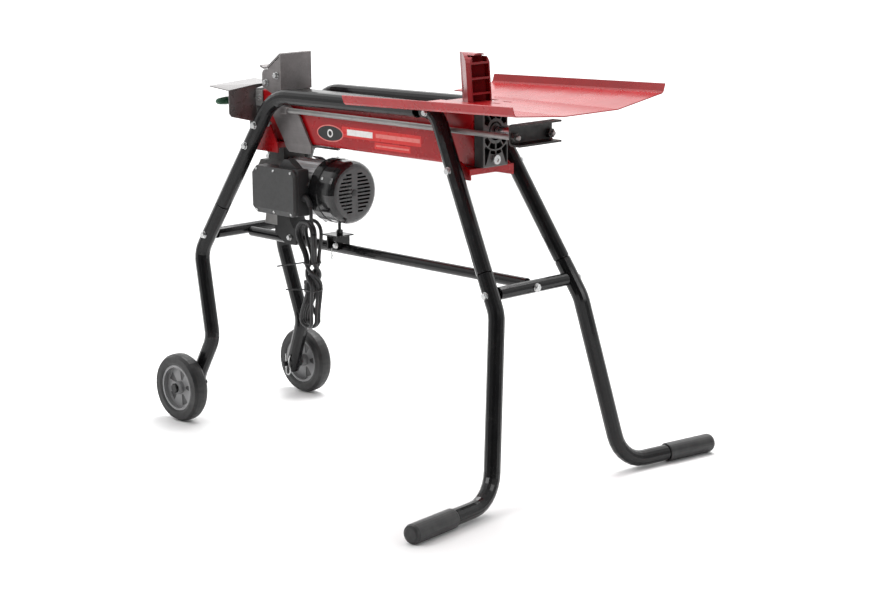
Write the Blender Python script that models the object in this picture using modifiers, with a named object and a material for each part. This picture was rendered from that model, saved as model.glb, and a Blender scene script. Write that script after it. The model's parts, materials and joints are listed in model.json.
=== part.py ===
"""Electric log splitter on a wheeled tube stand, metres, +Z up.

+X runs along the beam from the pusher to the wedge, -Y is the side of the switch box,
and the origin is on the floor below the middle of the bounding box.
"""

import math

import bmesh
import bpy
from mathutils import Matrix, Vector

NAME = "log_splitter"
GAP = 0.0003                     # clearance between touching pieces

# ---- stand -------------------------------------------------------------------------------
TUBE_R = 0.017                   # 34 mm leg and rail tube
TUBE_WALL = 0.002
SPIGOT = 0.83                    # a lower leg's swaged end, as a part of its radius
SPIGOT_LENGTH = 0.034
FRONT_BAR_R = 0.0135
REAR_BAR_R = 0.0125
LONG_BAR_R = 0.0115
RAIL_Y = 0.074
RAIL_END = Vector((0.1735, RAIL_Y, 0.7585))
REAR_CORNER = Vector((-0.286, RAIL_Y, 0.7530))
REAR_KNEE = Vector((-0.500, 0.120, 0.3845))
REAR_ANKLE = Vector((-0.448, 0.135, 0.192))
REAR_JOINT_Z = 0.500             # where the upper and lower rear legs meet
FRONT_TOP = Vector((0.190, 0.0715, 0.7587))
FRONT_CORNER = Vector((0.225, 0.0715, 0.7587))
FRONT_KNEE = Vector((0.4443, 0.1233, 0.3781))
FRONT_JOINT_Z = 0.4534
FOOT_CORNER = Vector((0.4969, 0.1945, 0.020))
FOOT_END = Vector((0.5300, 0.4400, 0.020))
FOOT_BEND_R = 0.075
SLEEVE_R = 0.020
SLEEVE_LENGTH = 0.128
FRONT_BAR_Z = 0.414
REAR_BAR_Z = 0.428
LONG_BAR_Z = (0.4212, 0.4182)    # its middle at the rear and front ends

# ---- wheels ------------------------------------------------------------------------------
WHEEL_R = 0.078
WHEEL_WIDTH = 0.036
WHEEL_AXIS = Vector((-0.5028, 0.187, WHEEL_R))
LEG_END_Y = 0.148                # the lower leg's centre beside the wheel
RIM_R = 0.0525
HUB_R = 0.0145
AXLE_R = 0.006
SPOKES = 5

# ---- beam --------------------------------------------------------------------------------
BEAM_HALF = 0.036
BEAM_BOTTOM = 0.6475
BEAM_TOP = 0.760
BEAM_REAR = -0.366
BEAM_FRONT = 0.296
BEAM_WALL = 0.003
CASTING_FRONT = 0.3235
ROD_Z = 0.7205                   # height of the piston rod and of the tie rods
ROD_R = 0.011
CYLINDER_R = 0.0275
CYLINDER_BORE = 0.0235
BRACKET_TOP = BEAM_BOTTOM - 0.0005
BRACKET_PLATE = 0.012
CELL_RIB = 0.0026                # rib between two pockets of the end casting
CELL_DEPTH = 0.014
DRAIN = (-0.0035, 0.6630)        # across and height

# ---- carriage ----------------------------------------------------------------------------
STROKE = 0.380
FACE_X = -0.2939                 # front of the pusher plate
PUSHER_HALF = 0.045
PUSHER_PLATE = 0.004
PUSHER_TOP = 0.8435
PUSHER_BOTTOM = 0.7608
SIDE_INNER = 0.0385
SIDE_PLATE = 0.005
TIE_Y = 0.0505
TIE_R = 0.0058
TIE_REAR = -0.2600
KEEPER_X = (-0.262, -0.203)
CROSSHEAD_X = 0.4176
CROSSHEAD_DEPTH = 0.030
CROSSHEAD_HALF = 0.0605
CROSSHEAD_Z = (0.7035, 0.748)
CROSSHEAD_PLATE = 0.004

# ---- tray and wedge ----------------------------------------------------------------------
TRAY_FRONT = WHEEL_R - WHEEL_AXIS.x   # as far forward as the wheels reach back
TRAY_REAR = 0.1056
TRAY_FLOOR = 0.7782
TRAY_FOLD = 0.0772               # half width of the level panel
TRAY_EDGE = 0.2129               # half width where the wings meet the lips
TRAY_EDGE_Z = ((0.7777, 0.7897), (0.7873, 0.7994))   # near and far, rear and front ends
TRAY_LIP = 0.2190
TRAY_LIP_RISE = 0.0176
TRAY_ROWS = 6
TRAY_SHEET = 0.002
WEDGE_BLADE_X = 0.230
WEDGE_LENGTH = 0.055
WEDGE_HALF = 0.0285
WEDGE_BASE = 0.7745
WEDGE_TOP = 0.8745
WEDGE_CORNER = 0.026
WEDGE_LEAN = 0.08                # how far the top leans back towards the log

# ---- motor and pump ----------------------------------------------------------------------
MOTOR_Z = 0.548
CAN_REAR = -0.306
CAN_FRONT = -0.1815
CAN_R = 0.0615
FINS = 24
BELL_R = 0.071
BELL_FRONT = -0.1515
COVER_R = 0.0695
COVER_FRONT = -0.106
SHAFT_R = 0.0075
PUMP_REAR = -0.385
PUMP_NECK_REAR = -0.356          # above the gears the body is shorter
PUMP_NECK_Z = 0.600
PUMP_TOP = BRACKET_TOP - BRACKET_PLATE - GAP
GEAR_TEETH = 12
GEAR_MODULE = 0.0022
GEAR_PITCH_R = GEAR_MODULE * GEAR_TEETH / 2
REAR_FOOT_Z = (0.4520, 0.5057)
FRONT_FOOT_Z = 0.4480
STUD_X = -0.158
BOX_X = (-0.322, -0.182)
BOX_Y = (-0.0975, -0.064)
BOX_Z = (0.4975, 0.5995)
COVER_Y = -0.1105
BUTTON = Vector((0.0, -0.081, 0.565))
BUTTON_R = 0.009

# ---- controls ----------------------------------------------------------------------------
VALVE_REAR = -0.420
GUARD_X = -0.390
LEVER = Vector((-0.4215, -0.050, 0.7345))
LEVER_R = 0.004
KNOB_R = 0.0092
KNOB_TIP_Y = -0.1255
KNOB_ROOT_Y = -0.0900

# ---- mains cord --------------------------------------------------------------------------
CORD_R = 0.004
RELIEF_POINTS = (
    (-0.1812, -0.0806, 0.5380), (-0.1760, -0.0806, 0.5377), (-0.1705, -0.0806, 0.5352),
    (-0.1660, -0.0808, 0.5314), (-0.1630, -0.0810, 0.5268), (-0.1608, -0.0812, 0.5218),
)
CORD_POINTS = (
    (-0.1607, -0.0812, 0.5214), (-0.1592, -0.0815, 0.5160), (-0.1582, -0.0818, 0.5100),
    (-0.1576, -0.0820, 0.5030), (-0.1574, -0.0822, 0.4940),
)
HANK_Y = (-0.097, -0.063)
HANK_TOP = (-0.1680, 0.4636, 0.0290)     # middle and radius of the upper loops
HANK_BOTTOM = (-0.1712, 0.2695, 0.0210)
HANK_LEFT = ((-0.1745, 0.405), (-0.1745, 0.366), (-0.1650, 0.362), (-0.1650, 0.312), (-0.1840, 0.312))
HANK_RIGHT = ((-0.1420, 0.345), (-0.1435, 0.405))
PLUG_LOW = Vector((-0.1850, -0.0920, 0.3155))
PLUG_HIGH = Vector((-0.1653, -0.0680, 0.3585))

COLOURS = {                      # base colour, roughness, metallic
    "red_paint": ((0.45, 0.006, 0.012), 0.35, 0.0),
    "black_gloss": ((0.018, 0.018, 0.019), 0.25, 0.0),
    "dark_cast": ((0.07, 0.07, 0.072), 0.5, 0.6),
    "grey_steel": ((0.15, 0.145, 0.14), 0.45, 0.5),
    "zinc": ((0.62, 0.62, 0.60), 0.35, 0.9),
    "chrome_rod": ((0.75, 0.75, 0.76), 0.12, 1.0),
    "aluminium": ((0.55, 0.55, 0.56), 0.4, 0.9),
    "black_plastic": ((0.025, 0.025, 0.026), 0.45, 0.0),
    "grey_plastic": ((0.13, 0.13, 0.135), 0.5, 0.0),
    "rubber": ((0.03, 0.03, 0.031), 0.7, 0.0),
    "green_plastic": ((0.02, 0.08, 0.045), 0.45, 0.0),
    "copper": ((0.5, 0.22, 0.1), 0.4, 0.8),
}


# ---- scene -------------------------------------------------------------------------------
def clear_scene():
    for obj in list(bpy.data.objects):
        bpy.data.objects.remove(obj, do_unlink=True)


def new_collection(name):
    collection = bpy.data.collections.new(name)
    bpy.context.scene.collection.children.link(collection)
    return collection


def material(name):
    found = bpy.data.materials.get(name)
    if found:
        return found
    made = bpy.data.materials.new(name)
    made.use_nodes = True
    shader = made.node_tree.nodes["Principled BSDF"]
    colour, roughness, metallic = COLOURS[name]
    shader.inputs["Base Color"].default_value = (*colour, 1.0)
    shader.inputs["Roughness"].default_value = roughness
    shader.inputs["Metallic"].default_value = metallic
    return made


clear_scene()
PARTS = new_collection(NAME)
CUTTERS = new_collection(NAME + "_cutters")


def add(name, mesh, slot, matrix=None):
    """A finished sub-part: its mesh in the object's collection with its own material."""
    obj = bpy.data.objects.new(name, mesh)
    PARTS.objects.link(obj)
    if matrix is not None:
        obj.matrix_world = matrix
    if slot:
        mesh.materials.append(material(slot))
    mesh.shade_smooth()
    mesh.set_sharp_from_angle(angle=math.radians(35))
    return obj


def cutter(mesh, matrix=None):
    obj = bpy.data.objects.new("cutter", mesh)
    CUTTERS.objects.link(obj)
    if matrix is not None:
        obj.matrix_world = matrix
    obj.hide_render = True
    obj.display_type = "WIRE"
    return obj


def boolean(obj, tool, operation="DIFFERENCE"):
    modifier = obj.modifiers.new(operation.lower(), "BOOLEAN")
    modifier.operation = operation
    modifier.object = tool


def from_bmesh(bm, name="mesh"):
    mesh = bpy.data.meshes.new(name)
    bmesh.ops.recalc_face_normals(bm, faces=bm.faces)
    bm.to_mesh(mesh)
    bm.free()
    return mesh


# ---- shapes ------------------------------------------------------------------------------
def box_mesh(low, high, bevel=0.0):
    low, high = Vector(low), Vector(high)
    bm = bmesh.new()
    bmesh.ops.create_cube(bm, size=1.0)
    bmesh.ops.scale(bm, vec=high - low, verts=bm.verts)
    bmesh.ops.translate(bm, vec=(low + high) / 2, verts=bm.verts)
    if bevel:
        bmesh.ops.bevel(bm, geom=list(bm.edges), offset=bevel, segments=1, affect="EDGES")
    return from_bmesh(bm)


def along(axis):
    """Rotation that takes +Z to the axis named X, Y or Z."""
    turns = {
        "X": Matrix.Rotation(math.pi / 2, 4, "Y"),
        "Y": Matrix.Rotation(-math.pi / 2, 4, "X"),
        "Z": Matrix.Identity(4),
    }
    return turns[axis]


def cylinder_mesh(start, end, radius, sides=24):
    start, end = Vector(start), Vector(end)
    bm = bmesh.new()
    turn = (end - start).to_track_quat("Z", "Y").to_matrix().to_4x4()
    place = Matrix.Translation((start + end) / 2) @ turn
    bmesh.ops.create_cone(bm, cap_ends=True, segments=sides, radius1=radius, radius2=radius,
                          depth=(end - start).length, matrix=place)
    return from_bmesh(bm)


def polyline(points, cyclic):
    bm = bmesh.new()
    verts = [bm.verts.new(p) for p in points]
    for a, b in zip(verts, verts[1:]):
        bm.edges.new((a, b))
    if cyclic:
        bm.edges.new((verts[-1], verts[0]))
    mesh = bpy.data.meshes.new("profile")
    bm.to_mesh(mesh)
    bm.free()
    return mesh


def turned(name, profile, origin, axis, slot, sides=32, ring=False):
    """Profile of (radius, height) points, running down the outer side, turned about an axis."""
    mesh = polyline([(r, 0.0, h) for r, h in profile], ring)
    obj = add(name, mesh, slot, Matrix.Translation(origin) @ along(axis))
    screw = obj.modifiers.new("turn", "SCREW")
    screw.steps = screw.render_steps = sides
    screw.use_merge_vertices = True
    screw.merge_threshold = 0.00001
    screw.use_smooth_shade = True
    return obj


def arc(centre, radius, start, end, steps):
    turn = math.radians(end - start) / steps
    first = math.radians(start)
    return [(centre[0] + radius * math.cos(first + turn * i),
             centre[1] + radius * math.sin(first + turn * i)) for i in range(steps + 1)]


def rounded_rectangle(half_u, half_v, radius, steps=3):
    points = []
    for su, sv, start in ((1, 1, 0), (-1, 1, 90), (-1, -1, 180), (1, -1, 270)):
        corner = (su * (half_u - radius), sv * (half_v - radius))
        points += arc(corner, radius, start, start + 90, steps)
    return points


def plate_mesh(outlines, thickness, matrix):
    """Flat outlines, the later ones holes, as a slab of this thickness from z = 0 up."""
    curve = bpy.data.curves.new("outline", "CURVE")
    curve.dimensions = "2D"
    curve.fill_mode = "BOTH"
    curve.extrude = thickness / 2
    for outline in outlines:
        spline = curve.splines.new("POLY")
        spline.points.add(len(outline) - 1)
        for point, (u, v) in zip(spline.points, outline):
            point.co = (u, v, 0.0, 1.0)
        spline.use_cyclic_u = True
    holder = bpy.data.objects.new("outline", curve)
    PARTS.objects.link(holder)
    graph = bpy.context.evaluated_depsgraph_get()
    mesh = bpy.data.meshes.new_from_object(holder.evaluated_get(graph))
    bpy.data.objects.remove(holder, do_unlink=True)
    bm = bmesh.new()
    bm.from_mesh(mesh)
    bmesh.ops.remove_doubles(bm, verts=bm.verts, dist=0.00001)
    bmesh.ops.transform(bm, matrix=matrix @ Matrix.Translation((0, 0, thickness / 2)),
                        verts=bm.verts)
    return from_bmesh(bm)


def side_plane(y):
    """Outline u, v to world X, Z; the slab grows towards -Y from y."""
    return Matrix.Translation((0, y, 0)) @ Matrix.Rotation(math.pi / 2, 4, "X")


def end_plane(x):
    """Outline u, v to world Y, Z; the slab grows towards +X from x."""
    turn = Matrix(((0, 0, 1, 0), (1, 0, 0, 0), (0, 1, 0, 0), (0, 0, 0, 1)))
    return Matrix.Translation((x, 0, 0)) @ turn


def level_plane(z):
    """Outline u, v to world X, Y; the slab grows upwards from z."""
    return Matrix.Translation((0, 0, z))


def rounded_path(corners, radii, steps=5):
    """The corners' path with each inner corner made an arc of its radius."""
    path = [Vector(corners[0])]
    for before, corner, after, radius in zip(corners, corners[1:], corners[2:], radii):
        into = (Vector(corner) - Vector(before)).normalized()
        out = (Vector(after) - Vector(corner)).normalized()
        angle = into.angle(out)
        reach = radius * math.tan(angle / 2)
        centre_way = (out - into).normalized()
        centre = Vector(corner) + centre_way * radius / math.cos(angle / 2)
        start = Vector(corner) - into * reach
        axis = into.cross(out).normalized()
        for i in range(steps + 1):
            turn = Matrix.Rotation(angle * i / steps, 3, axis)
            path.append(centre + turn @ (start - centre))
    path.append(Vector(corners[-1]))
    return path


def tube_mesh(points, radius, resolution=6, scales=None, caps=True):
    curve = bpy.data.curves.new("route", "CURVE")
    curve.dimensions = "3D"
    curve.bevel_depth = radius
    curve.bevel_resolution = resolution
    curve.use_fill_caps = caps
    spline = curve.splines.new("POLY")
    spline.points.add(len(points) - 1)
    for i, (point, place) in enumerate(zip(spline.points, points)):
        point.co = (*place, 1.0)
        point.radius = scales[i] if scales else 1.0
    holder = bpy.data.objects.new("route", curve)
    PARTS.objects.link(holder)
    graph = bpy.context.evaluated_depsgraph_get()
    mesh = bpy.data.meshes.new_from_object(holder.evaluated_get(graph))
    bpy.data.objects.remove(holder, do_unlink=True)
    bm = bmesh.new()
    bm.from_mesh(mesh)
    bmesh.ops.remove_doubles(bm, verts=bm.verts, dist=0.00001)
    return from_bmesh(bm) if caps else plain_mesh(bm)


def plain_mesh(bm):
    mesh = bpy.data.meshes.new("mesh")
    bm.to_mesh(mesh)
    bm.free()
    return mesh


def solidify(obj, thickness, offset=-1.0):
    modifier = obj.modifiers.new("wall", "SOLIDIFY")
    modifier.thickness = thickness
    modifier.offset = offset
    modifier.use_even_offset = True


def hollow_tube(name, points, slot, scales=None):
    mesh = tube_mesh(points, TUBE_R, scales=scales, caps=False)
    obj = add(name, mesh, slot)
    solidify(obj, TUBE_WALL)
    return obj


def sided(point, side):
    """The same point on the near (-1) or far (+1) side."""
    return Vector((point[0], point[1] * side, point[2]))


SIDES = (("near", -1), ("far", 1))


def at_height(low, high, z):
    return low + (high - low) * ((z - low.z) / (high.z - low.z))


# ---- stand -------------------------------------------------------------------------------
def legs(label, side):
    rear_joint = at_height(REAR_KNEE, REAR_CORNER, REAR_JOINT_Z)
    upper = [sided(p, side) for p in (RAIL_END, REAR_CORNER, rear_joint)]
    hollow_tube(f"rear_leg_{label}", rounded_path(upper, (0.09,), 7), "black_gloss")

    hub = Vector((WHEEL_AXIS.x, LEG_END_Y, WHEEL_AXIS.z))
    end = hub + (hub - REAR_ANKLE).normalized() * 0.017
    down = (REAR_KNEE - rear_joint).normalized()
    corners = [rear_joint + down * 0.003, REAR_KNEE, REAR_ANKLE, end]
    path = rounded_path([sided(p, side) for p in corners], (0.06, 0.055))
    rear = lower_leg(f"rear_lower_leg_{label}", path)
    hole = cylinder_mesh((hub.x, side * 0.11, hub.z), (hub.x, side * 0.19, hub.z),
                         AXLE_R + 0.0004, 16)
    boolean(rear, cutter(hole))

    front_joint = at_height(FRONT_KNEE, FRONT_CORNER, FRONT_JOINT_Z)
    upper = [sided(p, side) for p in (FRONT_TOP, FRONT_CORNER, front_joint)]
    hollow_tube(f"front_leg_{label}", rounded_path(upper, (0.052,), 6), "black_gloss")
    down = (FRONT_KNEE - front_joint).normalized()
    corners = [front_joint + down * 0.003, FRONT_KNEE, FOOT_CORNER, FOOT_END]
    path = rounded_path([sided(p, side) for p in corners], (0.07, FOOT_BEND_R), 7)
    lower_leg(f"front_lower_leg_{label}", path)
    foot_sleeve(f"foot_sleeve_{label}", side)


def lower_leg(name, path):
    """A lower leg whose top is swaged to slide into the upper leg."""
    up = (path[0] - path[1]).normalized()
    points = [path[0] + up * (SPIGOT_LENGTH + 0.003), path[0] + up * 0.0026] + path
    scales = [SPIGOT, SPIGOT] + [1.0] * len(path)
    return hollow_tube(name, points, "black_gloss", scales)


def foot_sleeve(name, side):
    """The rubber sleeve over the end of a foot, closed and rounded at its tip."""
    way = sided((FOOT_END - FOOT_CORNER).normalized(), side)
    tip = sided(FOOT_END, side) + way * 0.006
    inner = TUBE_R + GAP
    profile = [
        (inner, -SLEEVE_LENGTH), (inner, -0.0057), (0.0, -0.0057), (0.0, 0.0),
        (SLEEVE_R - 0.007, 0.0), (SLEEVE_R - 0.002, -0.002), (SLEEVE_R, -0.007),
        (SLEEVE_R, -SLEEVE_LENGTH + 0.002), (SLEEVE_R - 0.001, -SLEEVE_LENGTH),
    ]
    outer_first = profile[3:] + profile[:3]
    sleeve = turned(name, outer_first, (0, 0, 0), "Z", "rubber", 24)
    sleeve.matrix_world = Matrix.Translation(tip) @ way.to_track_quat("Z", "Y").to_matrix().to_4x4()


def crossbars():
    front = at_height(FRONT_KNEE, FRONT_CORNER, FRONT_BAR_Z)
    rear = at_height(REAR_KNEE, REAR_CORNER, REAR_BAR_Z)
    for name, leg, radius in (("front_crossbar", front, FRONT_BAR_R),
                              ("rear_crossbar", rear, REAR_BAR_R)):
        half = leg.y - TUBE_R - 0.0028
        ends = [(leg.x, -half, leg.z), (leg.x, half, leg.z)]
        add(name, tube_mesh(ends, radius), "black_gloss")
    add("long_bar", tube_mesh(long_bar_ends(), LONG_BAR_R), "black_gloss")


def long_bar_ends():
    """The long bar's ends, just short of the two crossbars."""
    front = at_height(FRONT_KNEE, FRONT_CORNER, FRONT_BAR_Z)
    rear = at_height(REAR_KNEE, REAR_CORNER, REAR_BAR_Z)
    return [Vector((rear.x + REAR_BAR_R + GAP, 0, LONG_BAR_Z[0])),
            Vector((front.x - FRONT_BAR_R - GAP, 0, LONG_BAR_Z[1]))]


def long_bar_channel(low_x, high_x):
    """A cutter for the long bar's own space between two places along it."""
    rear, front = long_bar_ends()
    way = (front - rear) / (front.x - rear.x)
    start, end = rear + way * (low_x - rear.x), rear + way * (high_x - rear.x)
    return cutter(cylinder_mesh(start, end, LONG_BAR_R + GAP, 24))


# ---- wheels ------------------------------------------------------------------------------
def wheel(label, side):
    centre = sided(WHEEL_AXIS, side)
    half = WHEEL_WIDTH / 2
    bead = RIM_R + GAP
    shoulder = [(WHEEL_R * 0.925, half), (WHEEL_R * 0.985, half * 0.62), (WHEEL_R, half * 0.2)]
    outer = shoulder + [(r, -h) for r, h in reversed(shoulder)]
    tyre = [(bead, half * 0.9), (RIM_R + 0.006, half)] + outer
    tyre += [(RIM_R + 0.006, -half), (bead, -half * 0.9)]
    turned(f"tyre_{label}", tyre, centre, "Y", "rubber", 40, ring=True)

    bore = AXLE_R + 0.0004
    deep = half * 0.85
    web = 0.003
    inner_rim = RIM_R - 0.005
    rim = [
        (bore, half * 0.95), (HUB_R - 0.002, half * 0.95), (HUB_R, half * 0.7), (HUB_R, web),
        (inner_rim, web), (inner_rim, deep), (RIM_R, deep),
        (RIM_R, -deep), (inner_rim, -deep), (inner_rim, -web), (HUB_R, -web),
        (HUB_R, -half * 0.7), (HUB_R - 0.002, -half * 0.95), (bore, -half * 0.95),
    ]
    hub = turned(f"wheel_rim_{label}", rim, centre, "Y", "grey_plastic", 40, ring=True)
    boolean(hub, cutter(spoke_windows(centre, side)))

    head = [(0.0, 0.0055), (0.0095, 0.0055), (0.0112, 0.003), (0.0112, 0.0), (AXLE_R, 0.0),
            (AXLE_R, -0.0880), (AXLE_R - 0.0015, -0.0895), (0.0, -0.0895)]
    outward = Matrix.Rotation(math.pi, 4, "X") if side < 0 else Matrix.Identity(4)
    axle = turned(f"axle_{label}", head, (0, 0, 0), "Z", "black_gloss", 16)
    face = sided((WHEEL_AXIS.x, WHEEL_AXIS.y + half, WHEEL_AXIS.z), side)
    axle.matrix_world = Matrix.Translation(face) @ along("Y") @ outward


def spoke_windows(centre, side):
    """The five tapered openings between the spokes, as one mesh of prisms."""
    bm = bmesh.new()
    for i in range(SPOKES):
        middle = math.radians(75 + 360 / SPOKES * i)
        corners = []
        for radius, spread in ((HUB_R + 0.003, 9), (RIM_R - 0.0095, 15)):
            for way in (-1, 1):
                angle = middle + way * math.radians(spread)
                corners.append((radius * math.cos(angle), radius * math.sin(angle)))
        order = [corners[0], corners[2], corners[3], corners[1]]
        faces = []
        for y in (-0.012, 0.012):
            faces.append([bm.verts.new((centre.x + u, centre.y + y, centre.z + v)) for u, v in order])
        for k in range(4):
            j = (k + 1) % 4
            bm.faces.new((faces[0][k], faces[0][j], faces[1][j], faces[1][k]))
        bm.faces.new(faces[0])
        bm.faces.new(faces[1])
    return from_bmesh(bm)


# ---- beam --------------------------------------------------------------------------------
def beam():
    middle = (BEAM_BOTTOM + BEAM_TOP) / 2
    half_v = (BEAM_TOP - BEAM_BOTTOM) / 2
    outer = rounded_rectangle(BEAM_HALF, half_v, 0.006)
    inner = rounded_rectangle(BEAM_HALF - BEAM_WALL, half_v - BEAM_WALL, 0.003)
    place = end_plane(BEAM_REAR) @ Matrix.Translation((0, middle, 0))
    add("beam", plate_mesh([outer, inner], BEAM_FRONT - BEAM_REAR, place), "red_paint")
    bore = [(CYLINDER_R, 0.290), (CYLINDER_R, -0.310), (CYLINDER_BORE, -0.310), (CYLINDER_BORE, 0.290)]
    turned("cylinder_tube", bore, (0, 0, ROD_Z), "X", "grey_steel", 24, ring=True)


def casting_cell(start, end, inner, outer):
    """A pocket between two radial ribs (degrees) and two rings about the rod's bore."""
    limit_y = BEAM_HALF - 0.004
    low = BEAM_BOTTOM + 0.004 - ROD_Z
    high = BEAM_TOP - 0.004 - ROD_Z

    def reach(angle):
        c, s = math.cos(angle), math.sin(angle)
        far = outer
        if abs(c) > 1e-6:
            far = min(far, limit_y / abs(c))
        if abs(s) > 1e-6:
            far = min(far, (high if s > 0 else low) / s)
        return far

    def point(angle, radius):
        return (radius * math.cos(angle), ROD_Z + radius * math.sin(angle))

    a, b = math.radians(start), math.radians(end)
    trim = CELL_RIB / 2
    inner_arc = [point(a + trim / inner + (b - a - 2 * trim / inner) * i / 3, inner) for i in range(4)]
    outer_arc = []
    steps = 6
    for i in range(steps + 1):
        angle = a + (b - a) * i / steps
        radius = reach(angle)
        shift = trim / radius * (1 if i == 0 else -1 if i == steps else 0)
        outer_arc.append(point(angle + shift, reach(angle + shift)))
    return inner_arc + list(reversed(outer_arc))


def end_casting():
    """The cylinder's end cap: a block with a web of ribs, the rod's bore and a drain hole."""
    low = (BEAM_FRONT + GAP, -BEAM_HALF + 0.0005, BEAM_BOTTOM + 0.0005)
    high = (CASTING_FRONT, BEAM_HALF - 0.0005, BEAM_TOP - 0.0005)
    casting = add("end_casting", box_mesh(low, high, 0.0015), "dark_cast")
    cells = []
    for start, end in ((-160, -125), (-125, -90), (-90, -55), (-55, -20)):
        cells.append(casting_cell(start, end, 0.0255, 0.0375))
    for start, end in ((-112, -90), (-90, -68)):
        cells.append(casting_cell(start, end, 0.0402, 0.0475))
    for start, end in ((-137, -112), (-68, -43)):
        cells.append(casting_cell(start, end, 0.0402, 0.2))
    for start, end in ((25, 58), (58, 90), (90, 122), (122, 155)):
        cells.append(casting_cell(start, end, 0.0255, 0.2))
    for cell in cells:
        boolean(casting, cutter(plate_mesh([cell], 0.02, end_plane(CASTING_FRONT - CELL_DEPTH))))
    ring = turned_ring(ROD_Z, 0.0195, 0.0155, 0.008)
    boolean(casting, ring)
    axis = (BEAM_FRONT - 0.01, 0, ROD_Z)
    bore = cylinder_mesh(axis, (CASTING_FRONT + 0.01, 0, ROD_Z), ROD_R + 0.0004, 24)
    boolean(casting, cutter(bore))
    hole = cylinder_mesh((CASTING_FRONT - 0.010, DRAIN[0], DRAIN[1]),
                         (CASTING_FRONT + 0.01, DRAIN[0], DRAIN[1]), 0.0062, 16)
    boolean(casting, cutter(hole))
    profile = [(0.0, 0.006), (0.0045, 0.006), (0.0045, 0.0075), (0.0097, 0.0075), (0.0097, 0.0),
               (0.0058, 0.0), (0.0058, -0.009), (0.0, -0.009)]
    turned("drain_plug", profile, (CASTING_FRONT + GAP, *DRAIN), "X", "zinc", 20)


def turned_ring(height, outer, inner, depth):
    """A ring-shaped cutter that leaves the rod's boss standing in a shallow groove."""
    start, end = CASTING_FRONT - depth, CASTING_FRONT + 0.01
    mesh = cylinder_mesh((start, 0, height), (end, 0, height), outer, 24)
    tool = cutter(mesh)
    core = cutter(cylinder_mesh((start - 0.01, 0, height), (end + 0.01, 0, height), inner, 24))
    boolean(tool, core)
    return tool


def brackets():
    """Red saddles below the beam that the legs bolt to."""
    bottom = BRACKET_TOP - BRACKET_PLATE
    sheet = 0.004
    for name, rear, front, wing, wing_top, wing_front in (
        ("rear_bracket", -0.366, -0.2935, 0.0585, 0.700, -0.326),
        ("front_bracket", 0.256, 0.312, 0.0635, 0.661, 0.284),
    ):
        web = [(rear, -wing), (front, -wing), (front, wing), (rear, wing)]
        bracket = add(name, plate_mesh([web], BRACKET_PLATE, level_plane(bottom)), "red_paint")
        for side in (-1, 1):
            outline = [(rear, bottom - 0.010), (front, bottom - 0.010), (front, bottom + 0.006),
                       (wing_front, wing_top), (rear, wing_top)]
            y = wing if side > 0 else -wing + sheet
            tool = cutter(plate_mesh([outline], sheet, side_plane(y)))
            boolean(bracket, tool, "UNION")


# ---- carriage ----------------------------------------------------------------------------
def folded_sheet(name, profile, half_width, thickness, slot, offset=-1.0):
    """A bent sheet: its side profile (X, Z) drawn across Y and thickened."""
    bm = bmesh.new()
    left = [bm.verts.new((x, -half_width, z)) for x, z in profile]
    right = [bm.verts.new((x, half_width, z)) for x, z in profile]
    for i in range(len(profile) - 1):
        bm.faces.new((left[i], left[i + 1], right[i + 1], right[i]))
    obj = add(name, plain_mesh(bm), slot)
    solidify(obj, thickness, offset)
    return obj


def pusher():
    hood_foot = (-0.341, 0.811)
    lip = arc((-0.3475, 0.8260), 0.0165, -64, -100, 2)
    profile = [(FACE_X, PUSHER_BOTTOM), (FACE_X, PUSHER_TOP - 0.002), (FACE_X - 0.0015, PUSHER_TOP)]
    profile += [hood_foot] + [(x - 0.003, z) for x, z in lip[1:]] + [(-0.3635, 0.8140)]
    folded_sheet("pusher_plate", profile, PUSHER_HALF, PUSHER_PLATE, "grey_steel", 1.0)


def carriage_side(label, side):
    """A side plate: pusher cheek above the rail, arm below it, and the tie rod's lug."""
    back = FACE_X - PUSHER_PLATE - GAP
    cheek = [(back, PUSHER_BOTTOM - 0.001), (back, 0.8345), (-0.3425, 0.8040)]
    cheek += arc((-0.3475, 0.7930), 0.012, 75, 180, 4) + [(-0.3595, 0.766)]
    arm = [(-0.3060, 0.7440), (-0.3020, 0.7290), (-0.3130, 0.7220), (-0.3210, 0.7125),
           (-0.3247, 0.7028), (-0.2905, 0.6544), (-0.2830, 0.6377), (-0.2720, 0.6280),
           (-0.2020, 0.6280), (-0.1991, 0.6310), (-0.1988, 0.6483), (-0.2354, 0.7083),
           (-0.2504, 0.7203), (-0.2700, 0.7290), (-0.2794, 0.7420)]
    y = side * SIDE_INNER if side < 0 else SIDE_INNER + SIDE_PLATE
    mesh = plate_mesh([cheek + arm], SIDE_PLATE, side_plane(y))
    plate = add(f"carriage_side_{label}", mesh, "grey_steel")
    inner = SIDE_INNER + 0.002
    low = (TIE_REAR - 0.022, min(side * inner, side * 0.0595), ROD_Z - 0.008)
    high = (TIE_REAR - GAP, max(side * inner, side * 0.0595), ROD_Z + 0.007)
    boolean(plate, cutter(box_mesh(low, high, 0.002)), "UNION")


def keeper():
    """The plate that holds the carriage down under the beam."""
    half = SIDE_INNER - GAP
    low, high = (KEEPER_X[0], -half, BEAM_BOTTOM - 0.0075), (KEEPER_X[1], half, BEAM_BOTTOM - 0.0015)
    add("keeper_plate", box_mesh(low, high, 0.001), "grey_steel")


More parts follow.
